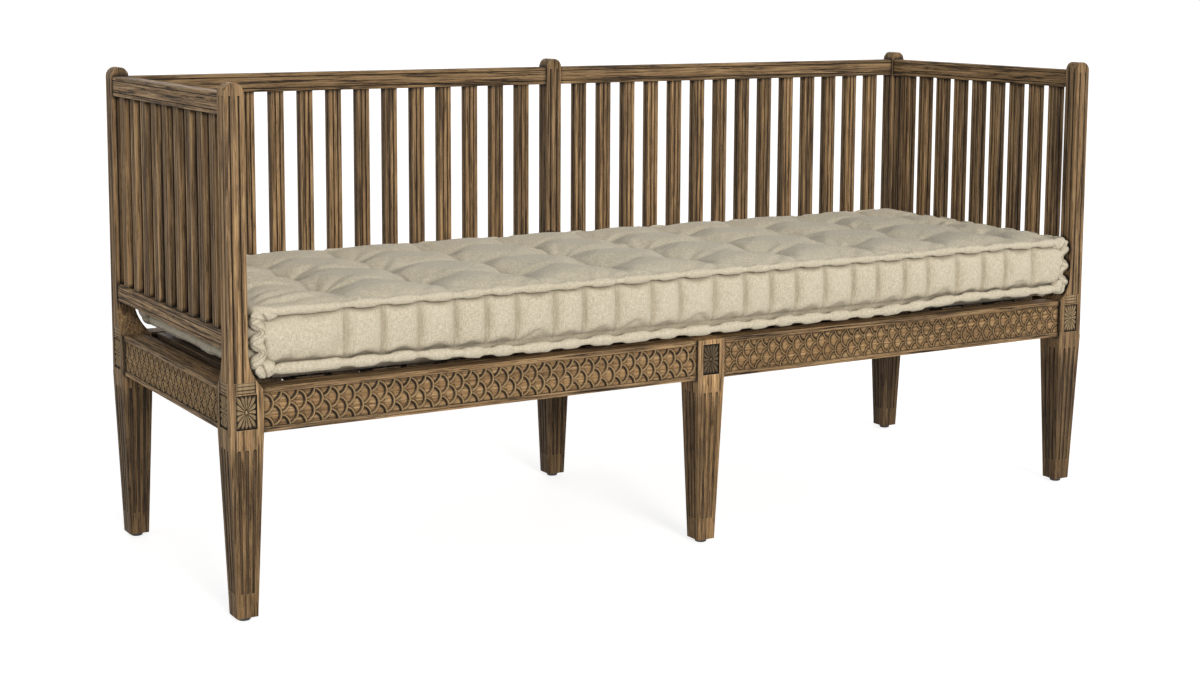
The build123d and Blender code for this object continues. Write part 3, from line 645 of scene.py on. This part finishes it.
tuft_pitch = Vector((200 * MM, 160 * MM))
tuft_count = (9, 3)
tuft_shift = 30 * MM  # the tufts stand a little right of the middle
tuft_depth, tuft_width = 13 * MM, 24 * MM
tuft_hold = 6 * MM  # the cover is sewn down this far round a tuft
column_valley, row_valley = 8 * MM, 5 * MM
fold_headings = (30, 80, 160, 210, 260, 340)  # of the folds that run out from a tuft, in degrees
fold_reach, fold_depth = 75 * MM, 3.0 * MM
ripple_depth = 1.5 * MM
slack_depth, slack_pitch = 2.6 * MM, 34 * MM  # folds past the last tufts
cells_per_tuft = (22, 18)
cells_in_height = 20
first_seam = -775 * MM  # of the front border
side_seam, back_seam = 70 * MM, 80 * MM  # from the corner
last_seam = 60 * MM  # no seam nearer to the next corner
core_inset = Vector((8, 10, 9)) * MM  # core inside the mattress's space, at the ends, front and top
core_top_round, core_low_round = 13 * MM, 34 * MM
roll_cover = (9 * MM, 9 * MM)  # heights at the top and the low edge that the rolls hide
top_hold = 16 * MM  # the top is sewn to the roll over this width
waist, waist_height = 7 * MM, 9 * MM  # the cover draws in behind the rolls
low_edge, low_edge_depth = 24 * MM, 60 * MM  # the cover turns in over the slats at this height
end_lift = 10 * MM  # the lower roll rises towards the ends
seam_depth, stitch_depth = 2 * MM, 5 * MM
channel_bulge = 16 * MM
front_reach = 13 * MM  # the most that the channels stand out in front
end_reach, back_reach, top_reach = 4 * MM, 3 * MM, 8 * MM
top_slack, border_slack = 0.03, 0.05  # how much longer the cloth is than the shape it covers
cloth_settings = {
    "quality": 6, "mass": 0.15, "tension_stiffness": 18, "compression_stiffness": 18, "shear_stiffness": 6,
    "bending_stiffness": 0.3, "tension_damping": 12, "compression_damping": 12, "vertex_group_mass": "sewn",
    "vertex_group_shrink": "border", "shrink_min": -top_slack, "shrink_max": -border_slack,
    "use_pressure": True, "uniform_pressure_force": 5,
}
swell_frames = 22
near_by = 0.1 * MM  # of a grid line or a face


def grid_lines(first, last, pitch, anchor):
    """Lines a pitch apart through an anchor, with the two ends."""
    steps = np.arange(math.ceil((first - anchor) / pitch), math.floor((last - anchor) / pitch) + 1)
    lines = anchor + pitch * steps
    lines = lines[(lines > first + pitch / 2) & (lines < last - pitch / 2)]
    return np.concatenate(([first], lines, [last]))


def grid_box(lines):
    """Closed box of quads with its vertices on the grid lines: vertices and faces."""
    last = [len(values) - 1 for values in lines]
    places, vertices, faces = {}, [], []

    def vertex(place):
        if place not in places:
            places[place] = len(vertices)
            vertices.append([lines[axis][place[axis]] for axis in range(3)])
        return places[place]

    sides = ((0, 1, 2, 1), (1, 0, 2, 0), (0, 2, 1, 0), (2, 0, 1, 1), (2, 1, 0, 0), (1, 2, 0, 1))
    for first, second, third, side in sides:
        for a, b in itertools.product(range(last[first]), range(last[second])):
            corners = []
            for da, db in ((0, 0), (1, 0), (1, 1), (0, 1)):
                place = [0, 0, 0]
                place[first], place[second], place[third] = a + da, b + db, last[third] * side
                corners.append(vertex(tuple(place)))
            faces.append(corners)
    return np.array(vertices), faces


def rounded(points, low, high, radius):
    """Points of a box moved onto the same box with rounded edges, of one radius for each point."""
    core = np.clip(points, low + radius[:, None], high - radius[:, None])
    away = points - core
    return core + away / np.linalg.norm(away, axis=1)[:, None] * radius[:, None]


def seam_places(lines, first, last, rng):
    """Grid lines that carry the border's upright seams, seven to nine cells apart."""
    seams, at = [], int(np.argmin(abs(lines - first)))
    while at < len(lines) and lines[at] < last:
        seams.append(float(lines[at]))
        at += rng.choice((7, 8, 8, 8, 9))
    return seams


def applied(item):
    """The mesh of an item with its modifiers, which it loses."""
    mesh = bpy.data.meshes.new_from_object(item.evaluated_get(bpy.context.evaluated_depsgraph_get()))
    item.modifiers.clear()
    return mesh


def swell(item, pinned, on_border):
    """Blow the cover up between the places where it is sewn, and keep the shape."""
    for name, chosen in (("sewn", pinned), ("border", on_border)):
        group = item.vertex_groups.new(name=name)
        group.add([int(k) for k in np.flatnonzero(chosen)], 1.0, "REPLACE")
    cloth = item.modifiers.new("cover", "CLOTH")
    for key, value in cloth_settings.items():
        setattr(cloth.settings, key, value)
    cloth.settings.effector_weights.gravity = 0
    cloth.point_cache.frame_start, cloth.point_cache.frame_end = 1, swell_frames
    for number in range(1, swell_frames + 1):
        bpy.context.scene.frame_set(number)
    shape = applied(item)
    item.vertex_groups.clear()
    bpy.context.scene.frame_set(1)
    return shape


def points_of(mesh):
    found = np.empty(len(mesh.vertices) * 3)
    mesh.vertices.foreach_get("co", found)
    return found.reshape(-1, 3)


def tuft_places(middle):
    """Columns and rows of tufts about the middle of the mattress's depth."""
    across, along = (np.arange(count) - (count - 1) / 2 for count in tuft_count)
    return tuft_shift + tuft_pitch.x * across, middle + tuft_pitch.y * along


def core_shape(flat, low, high, on_top, edge_gap):
    """The box with rounded edges, drawn in behind the rolls and turned up at its low edge."""
    radius = np.where(flat[:, 2] > (low[2] + high[2]) / 2, core_top_round, core_low_round)
    points = rounded(flat, low, high, radius)
    from_roll = np.minimum(flat[:, 2] - low[2] - roll_cover[1], high[2] - roll_cover[0] - flat[:, 2])
    drawn = np.exp(-(np.maximum(from_roll, 0) / waist_height) ** 2)
    drawn = (np.where(on_top, 0, drawn) * waist)[:, None]
    points[:, :2] = np.clip(points[:, :2], low[:2] + drawn, high[:2] - drawn)
    turned = np.clip(1 - edge_gap / low_edge_depth, 0, 1) * (high[2] - flat[:, 2]) / (high[2] - low[2])
    points[:, 2] += low_edge * turned
    return points


def sew_channels(points, flat, borders, low, high, on_border):
    """Bulge the border out between its seams; gives which vertices the seams hold."""
    sewn = np.zeros(len(flat), bool)
    height = high[2] - low[2] - sum(roll_cover)
    arch = np.sin(np.pi * np.clip((flat[:, 2] - low[2] - roll_cover[1]) / height, 0, 1)) ** 0.75
    for axis, across, seams, level, way in borders:
        face = on_border & (np.abs(flat[:, across] - level) < near_by)
        edges = np.array([low[axis], *seams, high[axis]])
        which = np.clip(np.searchsorted(edges, flat[:, axis], "right") - 1, 0, len(edges) - 2)
        share = (flat[:, axis] - edges[which]) / (edges[which + 1] - edges[which])
        full = 1 - np.abs(2 * share - 1) ** 3
        points[:, across] -= np.where(face, way * channel_bulge * full * arch, 0)
        for place in seams:
            line = face & (np.abs(flat[:, axis] - place) < near_by)
            sewn |= line
            points[line, across] += way * seam_depth * arch[line]
    return sewn


def keep_in_room(shape, low, high):
    """The swollen cover inside the mattress's space, apart from what cloth may stand proud."""
    shape[:, 0] = np.clip(shape[:, 0], low[0] - end_reach, high[0] + end_reach)
    proud = np.maximum(low[1] - shape[:, 1], 0)
    drawn_back = low[1] - front_reach * (1 - np.exp(-proud / front_reach))
    shape[:, 1] = np.where(proud > 0, drawn_back, shape[:, 1])
    shape[:, 1] = np.minimum(shape[:, 1], high[1] + back_reach)
    shape[:, 2] = np.clip(shape[:, 2], low[2], high[2] + top_reach)


def mattress_core(material):
    """Tufted body: pillows between the tufts and stitched channels round the border."""
    room = [np.array(v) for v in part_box("mattress")]
    low, high = room[0].copy(), room[1].copy()
    low[:2] += core_inset.x, core_inset.y
    high -= core_inset
    middle = (low[1] + high[1]) / 2
    columns, rows = tuft_places(middle)
    lines = [
        grid_lines(low[0], high[0], tuft_pitch.x / cells_per_tuft[0], tuft_shift),
        grid_lines(low[1], high[1], tuft_pitch.y / cells_per_tuft[1], middle),
        np.linspace(low[2], high[2], cells_in_height + 1),
    ]
    rng = random.Random(7)
    front = seam_places(lines[0], first_seam, high[0] - last_seam, rng)
    back = seam_places(lines[0], low[0] + back_seam, high[0] - last_seam, rng)
    sides = seam_places(lines[1], low[1] + side_seam, high[1] - last_seam, rng)
    borders = (  # axis along, axis across, seams, place of the face and the way in
        (0, 1, front, low[1], 1), (0, 1, back, high[1], -1),
        (1, 0, sides, low[0], 1), (1, 0, sides, high[0], -1),
    )
    flat, faces = grid_box(lines)
    on_top = flat[:, 2] > high[2] - near_by
    on_border = ~on_top & (flat[:, 2] > low[2] + near_by)
    edge_gap = np.minimum(flat[:, :2] - low[:2], high[:2] - flat[:, :2]).min(axis=1)
    points = core_shape(flat, low, high, on_top, edge_gap)
    from_column = np.abs(points[:, :1] - columns).min(axis=1)
    from_tuft = np.hypot(from_column, np.abs(points[:, 1:2] - rows).min(axis=1))
    points[:, 2] -= np.where(on_top, tuft_depth * np.exp(-from_tuft / tuft_width), 0)
    sewn = sew_channels(points, flat, borders, low, high, on_border)
    pinned = (flat[:, 2] < low[2] + roll_cover[1]) | (flat[:, 2] > high[2] - roll_cover[0])
    pinned &= ~(on_top & (edge_gap > top_hold))
    pinned |= sewn | (on_top & (from_tuft < tuft_hold))

    item = new_piece("mattress_body", (points, faces), "mattress", material)
    # painted shade in the tufts' pits
    mark(item, "nip", np.where(on_top, np.exp(-(from_tuft / (9 * MM)) ** 2), 0.0))
    item.data = swell(item, pinned, on_border)
    item.data.name = "mattress_body"
    shape = points_of(item.data)
    keep_in_room(shape, *room)
    item.data.vertices.foreach_set("co", shape.ravel())
    smooth_once(item, sewn)
    draw_seams(item, borders, (low[2] + low_edge + 6 * MM, high[2] - 8 * MM))
    crease(item, columns, rows, room)
    return item, front, back, sides


def draw_seams(item, borders, span):
    """Pull the seams in to narrow grooves with painted shade along them; span is their lowest and highest
    place.
    """
    shape, nips = points_of(item.data), numbers_of(item, "nip")
    share = np.clip((shape[:, 2] - span[0]) / (span[1] - span[0]), 0, 1)
    arch = np.sqrt(np.sin(np.pi * share))
    for axis, across, seams, level, way in borders:
        near = (np.abs(shape[:, across] - level) < 20 * MM) & (share > 0) & (share < 1)
        for place in seams:
            line = near & (np.abs(shape[:, axis] - place) < 0.4 * MM)
            shape[line, across] += way * stitch_depth * arch[line]
            # painted shade along each seam, darkest at its ends
            nips[line] = np.maximum(nips[line], 0.18 + 0.36 * (2 * share[line] - 1) ** 6)
    mark(item, "nip", nips)
    item.data.vertices.foreach_set("co", shape.ravel())


def tuft_valleys(x, y, bend, columns, rows):
    """How deep the valleys along the columns and rows of tufts are."""
    u = np.abs(x[:, None] + bend[:, None] - columns).min(axis=1)
    v = np.abs(y[:, None] + 0.8 * bend[:, None] - rows).min(axis=1)
    long = column_valley * np.exp(-u / (9 * MM)) * (0.55 + 0.45 * np.exp(-(v / (50 * MM)) ** 2))
    short = row_valley * np.exp(-v / (8 * MM)) * (0.30 + 0.70 * np.exp(-(u / (60 * MM)) ** 2))
    return np.maximum(long, short)


def tuft_folds(x, y, columns, rows):
    """How deep the sharp folds and the ripples round every tuft are."""
    drop = np.zeros(len(x))
    rng = random.Random(21)
    for at_x, at_y in itertools.product(columns, rows):
        near, turn = np.hypot(x - at_x, y - at_y), np.arctan2(y - at_y, x - at_x)
        for start in fold_headings:
            heading = math.radians(start + rng.uniform(-12, 12))
            curl, reach = rng.uniform(-0.4, 0.4), fold_reach * rng.uniform(0.5, 1.2)
            off = (turn - heading - curl * near / reach + math.pi) % (2 * math.pi) - math.pi
            line = np.exp(-np.abs(off * near) / (4 * MM + 0.05 * near)) * (np.abs(off) < 1.2)
            drop += fold_depth * line * np.exp(-(near / reach) ** 2)
        ripple = near / (16 * MM) * np.exp(-near / (26 * MM))
        drop -= ripple_depth * ripple * np.cos(rng.choice((7, 8, 9)) * turn + rng.uniform(0, 6))
    return drop


def crease(item, columns, rows, room):
    """Valleys from tuft to tuft, folds round every tuft, and slack folds at the ends; painted shade in the
    deepest valleys and folds.
    """
    shape = points_of(item.data)
    x, y = shape[:, 0], shape[:, 1]
    edge_gap = np.minimum(shape[:, :2] - room[0][:2], room[1][:2] - shape[:, :2]).min(axis=1)
    on_top = shape[:, 2] > room[1][2] - 45 * MM
    weight = np.where(on_top, np.clip((edge_gap - 20 * MM) / (22 * MM), 0, 1), 0)
    bend = 9 * MM * wander(shape, 7, 31)
    drop = tuft_valleys(x, y, bend, columns, rows) + tuft_folds(x, y, columns, rows)
    past_end = np.clip((np.abs(x - tuft_shift) - columns[-1] + tuft_shift - 20 * MM) / (60 * MM), 0, 1)
    slack = np.cos(2 * math.pi * (y + 0.12 * np.abs(x)) / slack_pitch + 3 * wander(shape, 9, 33))
    shape[:, 2] += weight * (slack_depth * past_end * slack - drop)
    # painted shade where the valleys and folds are deep
    shade = weight * np.clip((drop - 2.5 * MM) / (7 * MM), 0, 0.9)
    mark(item, "nip", np.maximum(numbers_of(item, "nip"), shade))
    item.data.vertices.foreach_set("co", shape.ravel())
    item.data.update()


def smooth_once(item, sharp=None):
    """Apply one level of subdivision; the edges between sharp vertices stay sharp."""
    if sharp is not None:
        ends = np.empty(len(item.data.edges) * 2, np.int32)
        item.data.edges.foreach_get("vertices", ends)
        keep = sharp[ends.reshape(-1, 2)].all(axis=1).astype(np.float32)
        item.data.attributes.new("crease_edge", "FLOAT", "EDGE").data.foreach_set("value", keep)
    item.modifiers.new("smooth", "SUBSURF").levels = 1
    item.data = applied(item)
    item.data.shade_smooth()


# --- rolled edges

roll_step = 4 * MM
roll_sides = 14
top_insets = (8 * MM, 4 * MM, 6 * MM)  # of the rolls' middle lines, at the ends, front and back
low_insets = (16 * MM, 4 * MM, 15 * MM)
top_size, low_size = (9.2 * MM, 9.2 * MM), (10 * MM, 11 * MM)  # half widths and half heights
seam_nip, nip_half, nip_fade = 0.34, 11 * MM, 5 * MM  # the rolls are this much thinner at the seams
corner_swell, corner_nip = 0.22, 0.26  # thicker at the corners, and thinner beside them


def ring(insets, z, corner):
    """Rounded rectangle inside the mattress's space: points and outward directions."""
    low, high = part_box("mattress")
    ends, front, back = (inset + corner for inset in insets)
    x0, x1, y0, y1 = low.x + ends, high.x - ends, low.y + front, high.y - back
    rough = []
    for x, y, start in ((x1, y0, -90), (x1, y1, 0), (x0, y1, 90), (x0, y0, 180)):
        for turn in np.radians(np.linspace(start, start + 90, 13)):
            rough.append((x + corner * math.cos(turn), y + corner * math.sin(turn)))
    rough = np.array(rough + rough[:1])
    along = np.concatenate(([0], np.cumsum(np.linalg.norm(np.diff(rough, axis=0), axis=1))))
    count = int(along[-1] / roll_step)
    at = np.arange(count) * along[-1] / count
    x, y = (np.interp(at, along, rough[:, k]) for k in range(2))
    tangent = np.stack([np.roll(x, -1) - np.roll(x, 1), np.roll(y, -1) - np.roll(y, 1)], axis=1)
    tangent /= np.linalg.norm(tangent, axis=1)[:, None]
    out = np.stack([tangent[:, 1], -tangent[:, 0], np.zeros(count)], axis=1)
    return np.stack([x, y, np.full(count, z)], axis=1), out


def wander(points, scale, seed):
    """Smooth noise, -1 to 1, at each point."""
    shift = Vector((seed * 3.7, seed * 1.3, seed * 2.1))
    return np.array([noise.noise(Vector(p) * scale + shift) for p in points])


def tube(points, out, reach, rise, closed, sides=roll_sides):
    """Soft tube along points: reach is its half width outward and rise its half height at each."""
    up = np.cross(np.gradient(points, axis=0), out)
    up /= np.linalg.norm(up, axis=1)[:, None]
    up *= np.where(up[:, 2:3] < 0, -1, 1) if closed else 1
    turn = np.arange(sides) * 2 * math.pi / sides
    rings = (points[:, None] + out[:, None] * (reach[:, None] * np.cos(turn))[..., None]
             + up[:, None] * (rise[:, None] * np.sin(turn))[..., None])
    count = len(points)
    faces = []
    for k in range(count if closed else count - 1):
        here, there = k * sides, (k + 1) % count * sides
        for j in range(sides):
            after = (j + 1) % sides
            faces.append((here + j, there + j, there + after, here + after))
    if not closed:
        faces += [tuple(range(sides)), tuple(range((count - 1) * sides, count * sides))[::-1]]
    return rings.reshape(-1, 3), faces


def rolled_edge(name, z, insets, corner, size, pinch_points, seed, material):
    """Uneven roll round the mattress, nipped where the seams meet it and thick at its corners."""
    points, out = ring(insets, z, corner)
    low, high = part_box("mattress")
    fat = 1 + 0.10 * wander(points, 14, seed) + 0.07 * wander(points, 48, seed + 1)
    for x, y in pinch_points:
        away = np.hypot(points[:, 0] - x, points[:, 1] - y)
        fat -= seam_nip * np.exp(-(np.maximum(away - nip_half, 0) / nip_fade) ** 2)
    for x, y in ((low.x, low.y), (high.x, low.y), (high.x, high.y), (low.x, high.y)):
        away = np.hypot(points[:, 0] - x, points[:, 1] - y)
        fat += corner_swell * np.exp(-(away / (30 * MM)) ** 2)
        fat -= corner_nip * np.exp(-((away - 44 * MM) / nip_fade) ** 2)
    points = points + out * (1.3 * MM * wander(points, 12, seed + 2))[:, None]
    points[:, 2] += 1.8 * MM * wander(points, 9, seed + 3) + 1.0 * MM * wander(points, 38, seed + 4)
    if z < (low.z + high.z) / 2:
        points[:, 2] += end_lift * np.clip((np.abs(points[:, 0]) / high.x - 0.45) / 0.25, 0, 1)
    shape = tube(points, out, size[0] * fat, size[1] * fat, True)
    item = new_piece(name, shape, "mattress", material)
    smooth_once(item)
    return item


def linen():
    """Coarse undyed linen: crossing threads with slubs, faint stains, and painted shade in nooks and in the
    creases, seams, tufts and pleats marked on the cloth.
    """
    light, dark, stained = (0.72, 0.655, 0.515), (0.50, 0.44, 0.32), (0.6696, 0.6092, 0.4790)
    n = Nodes("linen")
    warp = n.noise(620, (0.2, 1, 1), 2, 0.6)
    weft = n.noise(620, (1, 0.2, 0.2), 2, 0.6)
    slub = n.noise(150, (0.2, 1, 1), 3, 0.65)
    stain = n.noise(8, detail=4, roughness=0.6)
    weave = n.math("ADD", warp, weft)
    colour = n.mix(n.ramp(weave, 0.72, 1.28), dark, light)
    colour = n.mix(n.ramp(slub, 0.42, 0.60, 0.06, 0.0), colour, dark)
    colour = n.mix(n.ramp(stain, 0.35, 0.7, 0.0, 0.30), colour, stained)
    # painted shade: darker in nooks, and where the vertices carry marked shade
    painted_nook_shade = n.ramp(n.open_air(13 * MM), 0.30, 0.88, 0.62, 0.0)
    shade = n.math("MAXIMUM", painted_nook_shade, n.math("MULTIPLY", n.vertex_number("nip"), 0.8))
    colour = n.mix(shade, colour, (0.16, 0.12, 0.075))
    return n.finish(colour, n.ramp(warp, 0.3, 0.7, 0.95, 0.84), n.bump(weave, 0.45, 0.8 * MM),
                    {"Sheen Weight": 0.10, "Sheen Roughness": 0.5, "Specular IOR Level": 0.2})


def thread_material():
    n = Nodes("thread")
    twist = n.noise(700, detail=2)
    colour = n.mix(n.ramp(twist, 0.35, 0.65), (0.24, 0.19, 0.13), (0.46, 0.39, 0.28))
    return n.finish(colour, 0.85, n.bump(twist, 0.5, 0.3 * MM))


# --- corners and stitches

thread_radius = 0.6 * MM
thread_lift = 0.3 * MM  # of the threads' middle over the corner rolls
stitch_step, stitch_length = 3, 6.5 * MM  # steps of the roll from one stitch to the next
corner_radius = 11 * MM
corner_span = (36 * MM, 20 * MM)  # starts over the mattress's low edge and ends below its top
corner_inset = Vector((17, 8)) * MM
lobe_out, lobe_sway = 3 * MM, 4.5 * MM
ears = (("top", (24, 13, 12.5)), ("low", (20, 13, 17)))  # half sizes in mm
ear_inset = Vector((26, 7)) * MM
ear_levels = (18 * MM, 33 * MM)  # below the mattress's top and over its low edge
# painted shade in an ear's pleat
pleat_shade = 0.8


def ear_lobe(place, size, seed):
    """Lump of gathered cloth with a pleat darkened with painted shade, where the rolls meet at a corner."""
    mesh = bmesh.new()
    bmesh.ops.create_icosphere(mesh, subdivisions=5, radius=1)
    vertices, nips = [], []
    for vertex in mesh.verts:
        out = vertex.co.normalized()
        pleat = math.exp(-((out.x - 0.25 - 0.35 * out.z) / 0.11) ** 2)
        fat = 1 - 0.16 * pleat + 0.16 * noise.noise(out * 1.8 + Vector((seed, 0, 0)))
        vertices.append(place + out * size * fat)
        nips.append(pleat_shade * pleat)
    faces = [[vertex.index for vertex in face.verts] for face in mesh.faces]
    mesh.free()
    return (vertices, faces), nips


def corner_rolls(material):
    """Upright lobed rolls between two ears of cloth at every corner; gives threads along the rolls."""
    low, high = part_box("mattress")
    share = np.linspace(0, 1, 46)
    lobes = np.cos(2 * math.pi * (2.5 * share - 0.2))
    bottom, top = low.z + corner_span[0], high.z - corner_span[1]
    levels = (high.z - ear_levels[0], low.z + ear_levels[1])
    lines = []
    for number, (sx, sy) in enumerate(((-1, -1), (1, -1), (1, 1), (-1, 1))):
        out, sway = np.array((sx, sy, 0)) / math.sqrt(2), np.array((sx, -sy, 0)) / math.sqrt(2)
        x, y = high.x if sx > 0 else low.x, high.y if sy > 0 else low.y
        points = np.outer(lobes, lobe_out * out + lobe_sway * sway)
        points += (x - sx * corner_inset.x, y - sy * corner_inset.y, 0)
        points[:, 2] += bottom + (top - bottom) * share
        fat = corner_radius * (1 + 0.24 * lobes + 0.05 * wander(points, 60, 11 + number))
        shape = tube(points, np.tile(out, (len(points), 1)), fat, fat, False)
        item = new_piece(f"mattress_corner_{number}", shape, "mattress", material)
        smooth_once(item)
        for (name, size), level in zip(ears, levels):
            place = Vector((x - sx * ear_inset.x, y - sy * ear_inset.y, level))
            turned = Vector((sx * size[0], sx * size[1], size[2])) * MM
            ear, nips = ear_lobe(place, turned, number + size[2])
            item = new_piece(f"mattress_ear_{name}_{number}", ear, "mattress", material)
            mark(item, "nip", nips)
        for side in (-0.42, 0.42):
            turn = (side + 0.6 * lobes)[:, None]
            lines.append(points + (np.cos(turn) * out + np.sin(turn) * sway) * (fat + thread_lift)[:, None])
    return lines


def stitch_row(path, out, reach):
    """Short stitches along a path: a list of point lists."""
    stitches = []
    shown = path + out * reach
    for k in range(0, len(path) - 3, stitch_step):
        here, lift, step = shown[k], out[k] * MM, shown[k + 1] - shown[k]
        end = here + step * stitch_length / np.linalg.norm(step)
        stitches.append(np.array([here - 0.8 * lift, (here + end) / 2 + 0.5 * lift, end - 0.8 * lift]))
    return stitches


def threads(name, lines, material):
    """One mesh of thin threads along point lists."""
    vertices, faces = [], []
    for line in lines:
        direction = line[-1] - line[0]
        side = np.cross(direction, (0.13, 0.21, 0.97))
        side = np.tile(side / np.linalg.norm(side), (len(line), 1))
        radius = np.full(len(line), thread_radius)
        shape, shape_faces = tube(line, side, radius, radius, False, 5)
        faces += [[len(vertices) + k for k in corners] for corners in shape_faces]
        vertices.extend(shape)
    return new_piece(name, (vertices, faces), "mattress", material)


def nip_threads(nips, z):
    """Threads drawn tight over the top roll where a seam meets it."""
    low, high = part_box("mattress")
    turn = np.radians(np.linspace(-60, 60, 7))[:, None]
    lines = []
    for x, y in nips:
        at_end = min(abs(x - low.x), abs(x - high.x)) < 1 * MM
        out = np.array((math.copysign(1, x), 0, 0) if at_end else (0, math.copysign(1, y), 0))
        curve = np.cos(turn) * out + np.sin(turn) * (0, 0, 1)
        lines.append((x, y, z) - out * top_insets[0] + curve * 0.76 * top_size[0])
    return lines


def make_mattress():
    cover = linen()
    low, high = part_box("mattress")
    body, front, back, sides = mattress_core(cover)
    nips = [(x, low.y) for x in front] + [(x, high.y) for x in back]
    nips += [(x, y) for y in sides for x in (low.x, high.x)]
    top_z, low_z = high.z - 13 * MM, low.z + 20.5 * MM
    top = rolled_edge("mattress_top_roll", top_z, top_insets, 24 * MM, top_size, nips, 1, cover)
    bottom = rolled_edge("mattress_bottom_roll", low_z, low_insets, 34 * MM, low_size, nips, 5, cover)
    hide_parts("mattress")
    lines = corner_rolls(cover) + nip_threads(nips, top_z)
    path, out = ring(low_insets, low_z + 6 * MM, 28 * MM)
    behind = path[:, 1] > low.y + 30 * MM
    lines += stitch_row(path[behind], out[behind], 9.6 * MM)
    threads("mattress_threads", lines, thread_material())


make_camera()
make_studio()
dress_frame()
carve_rails()
carve_blocks()
make_mattress()
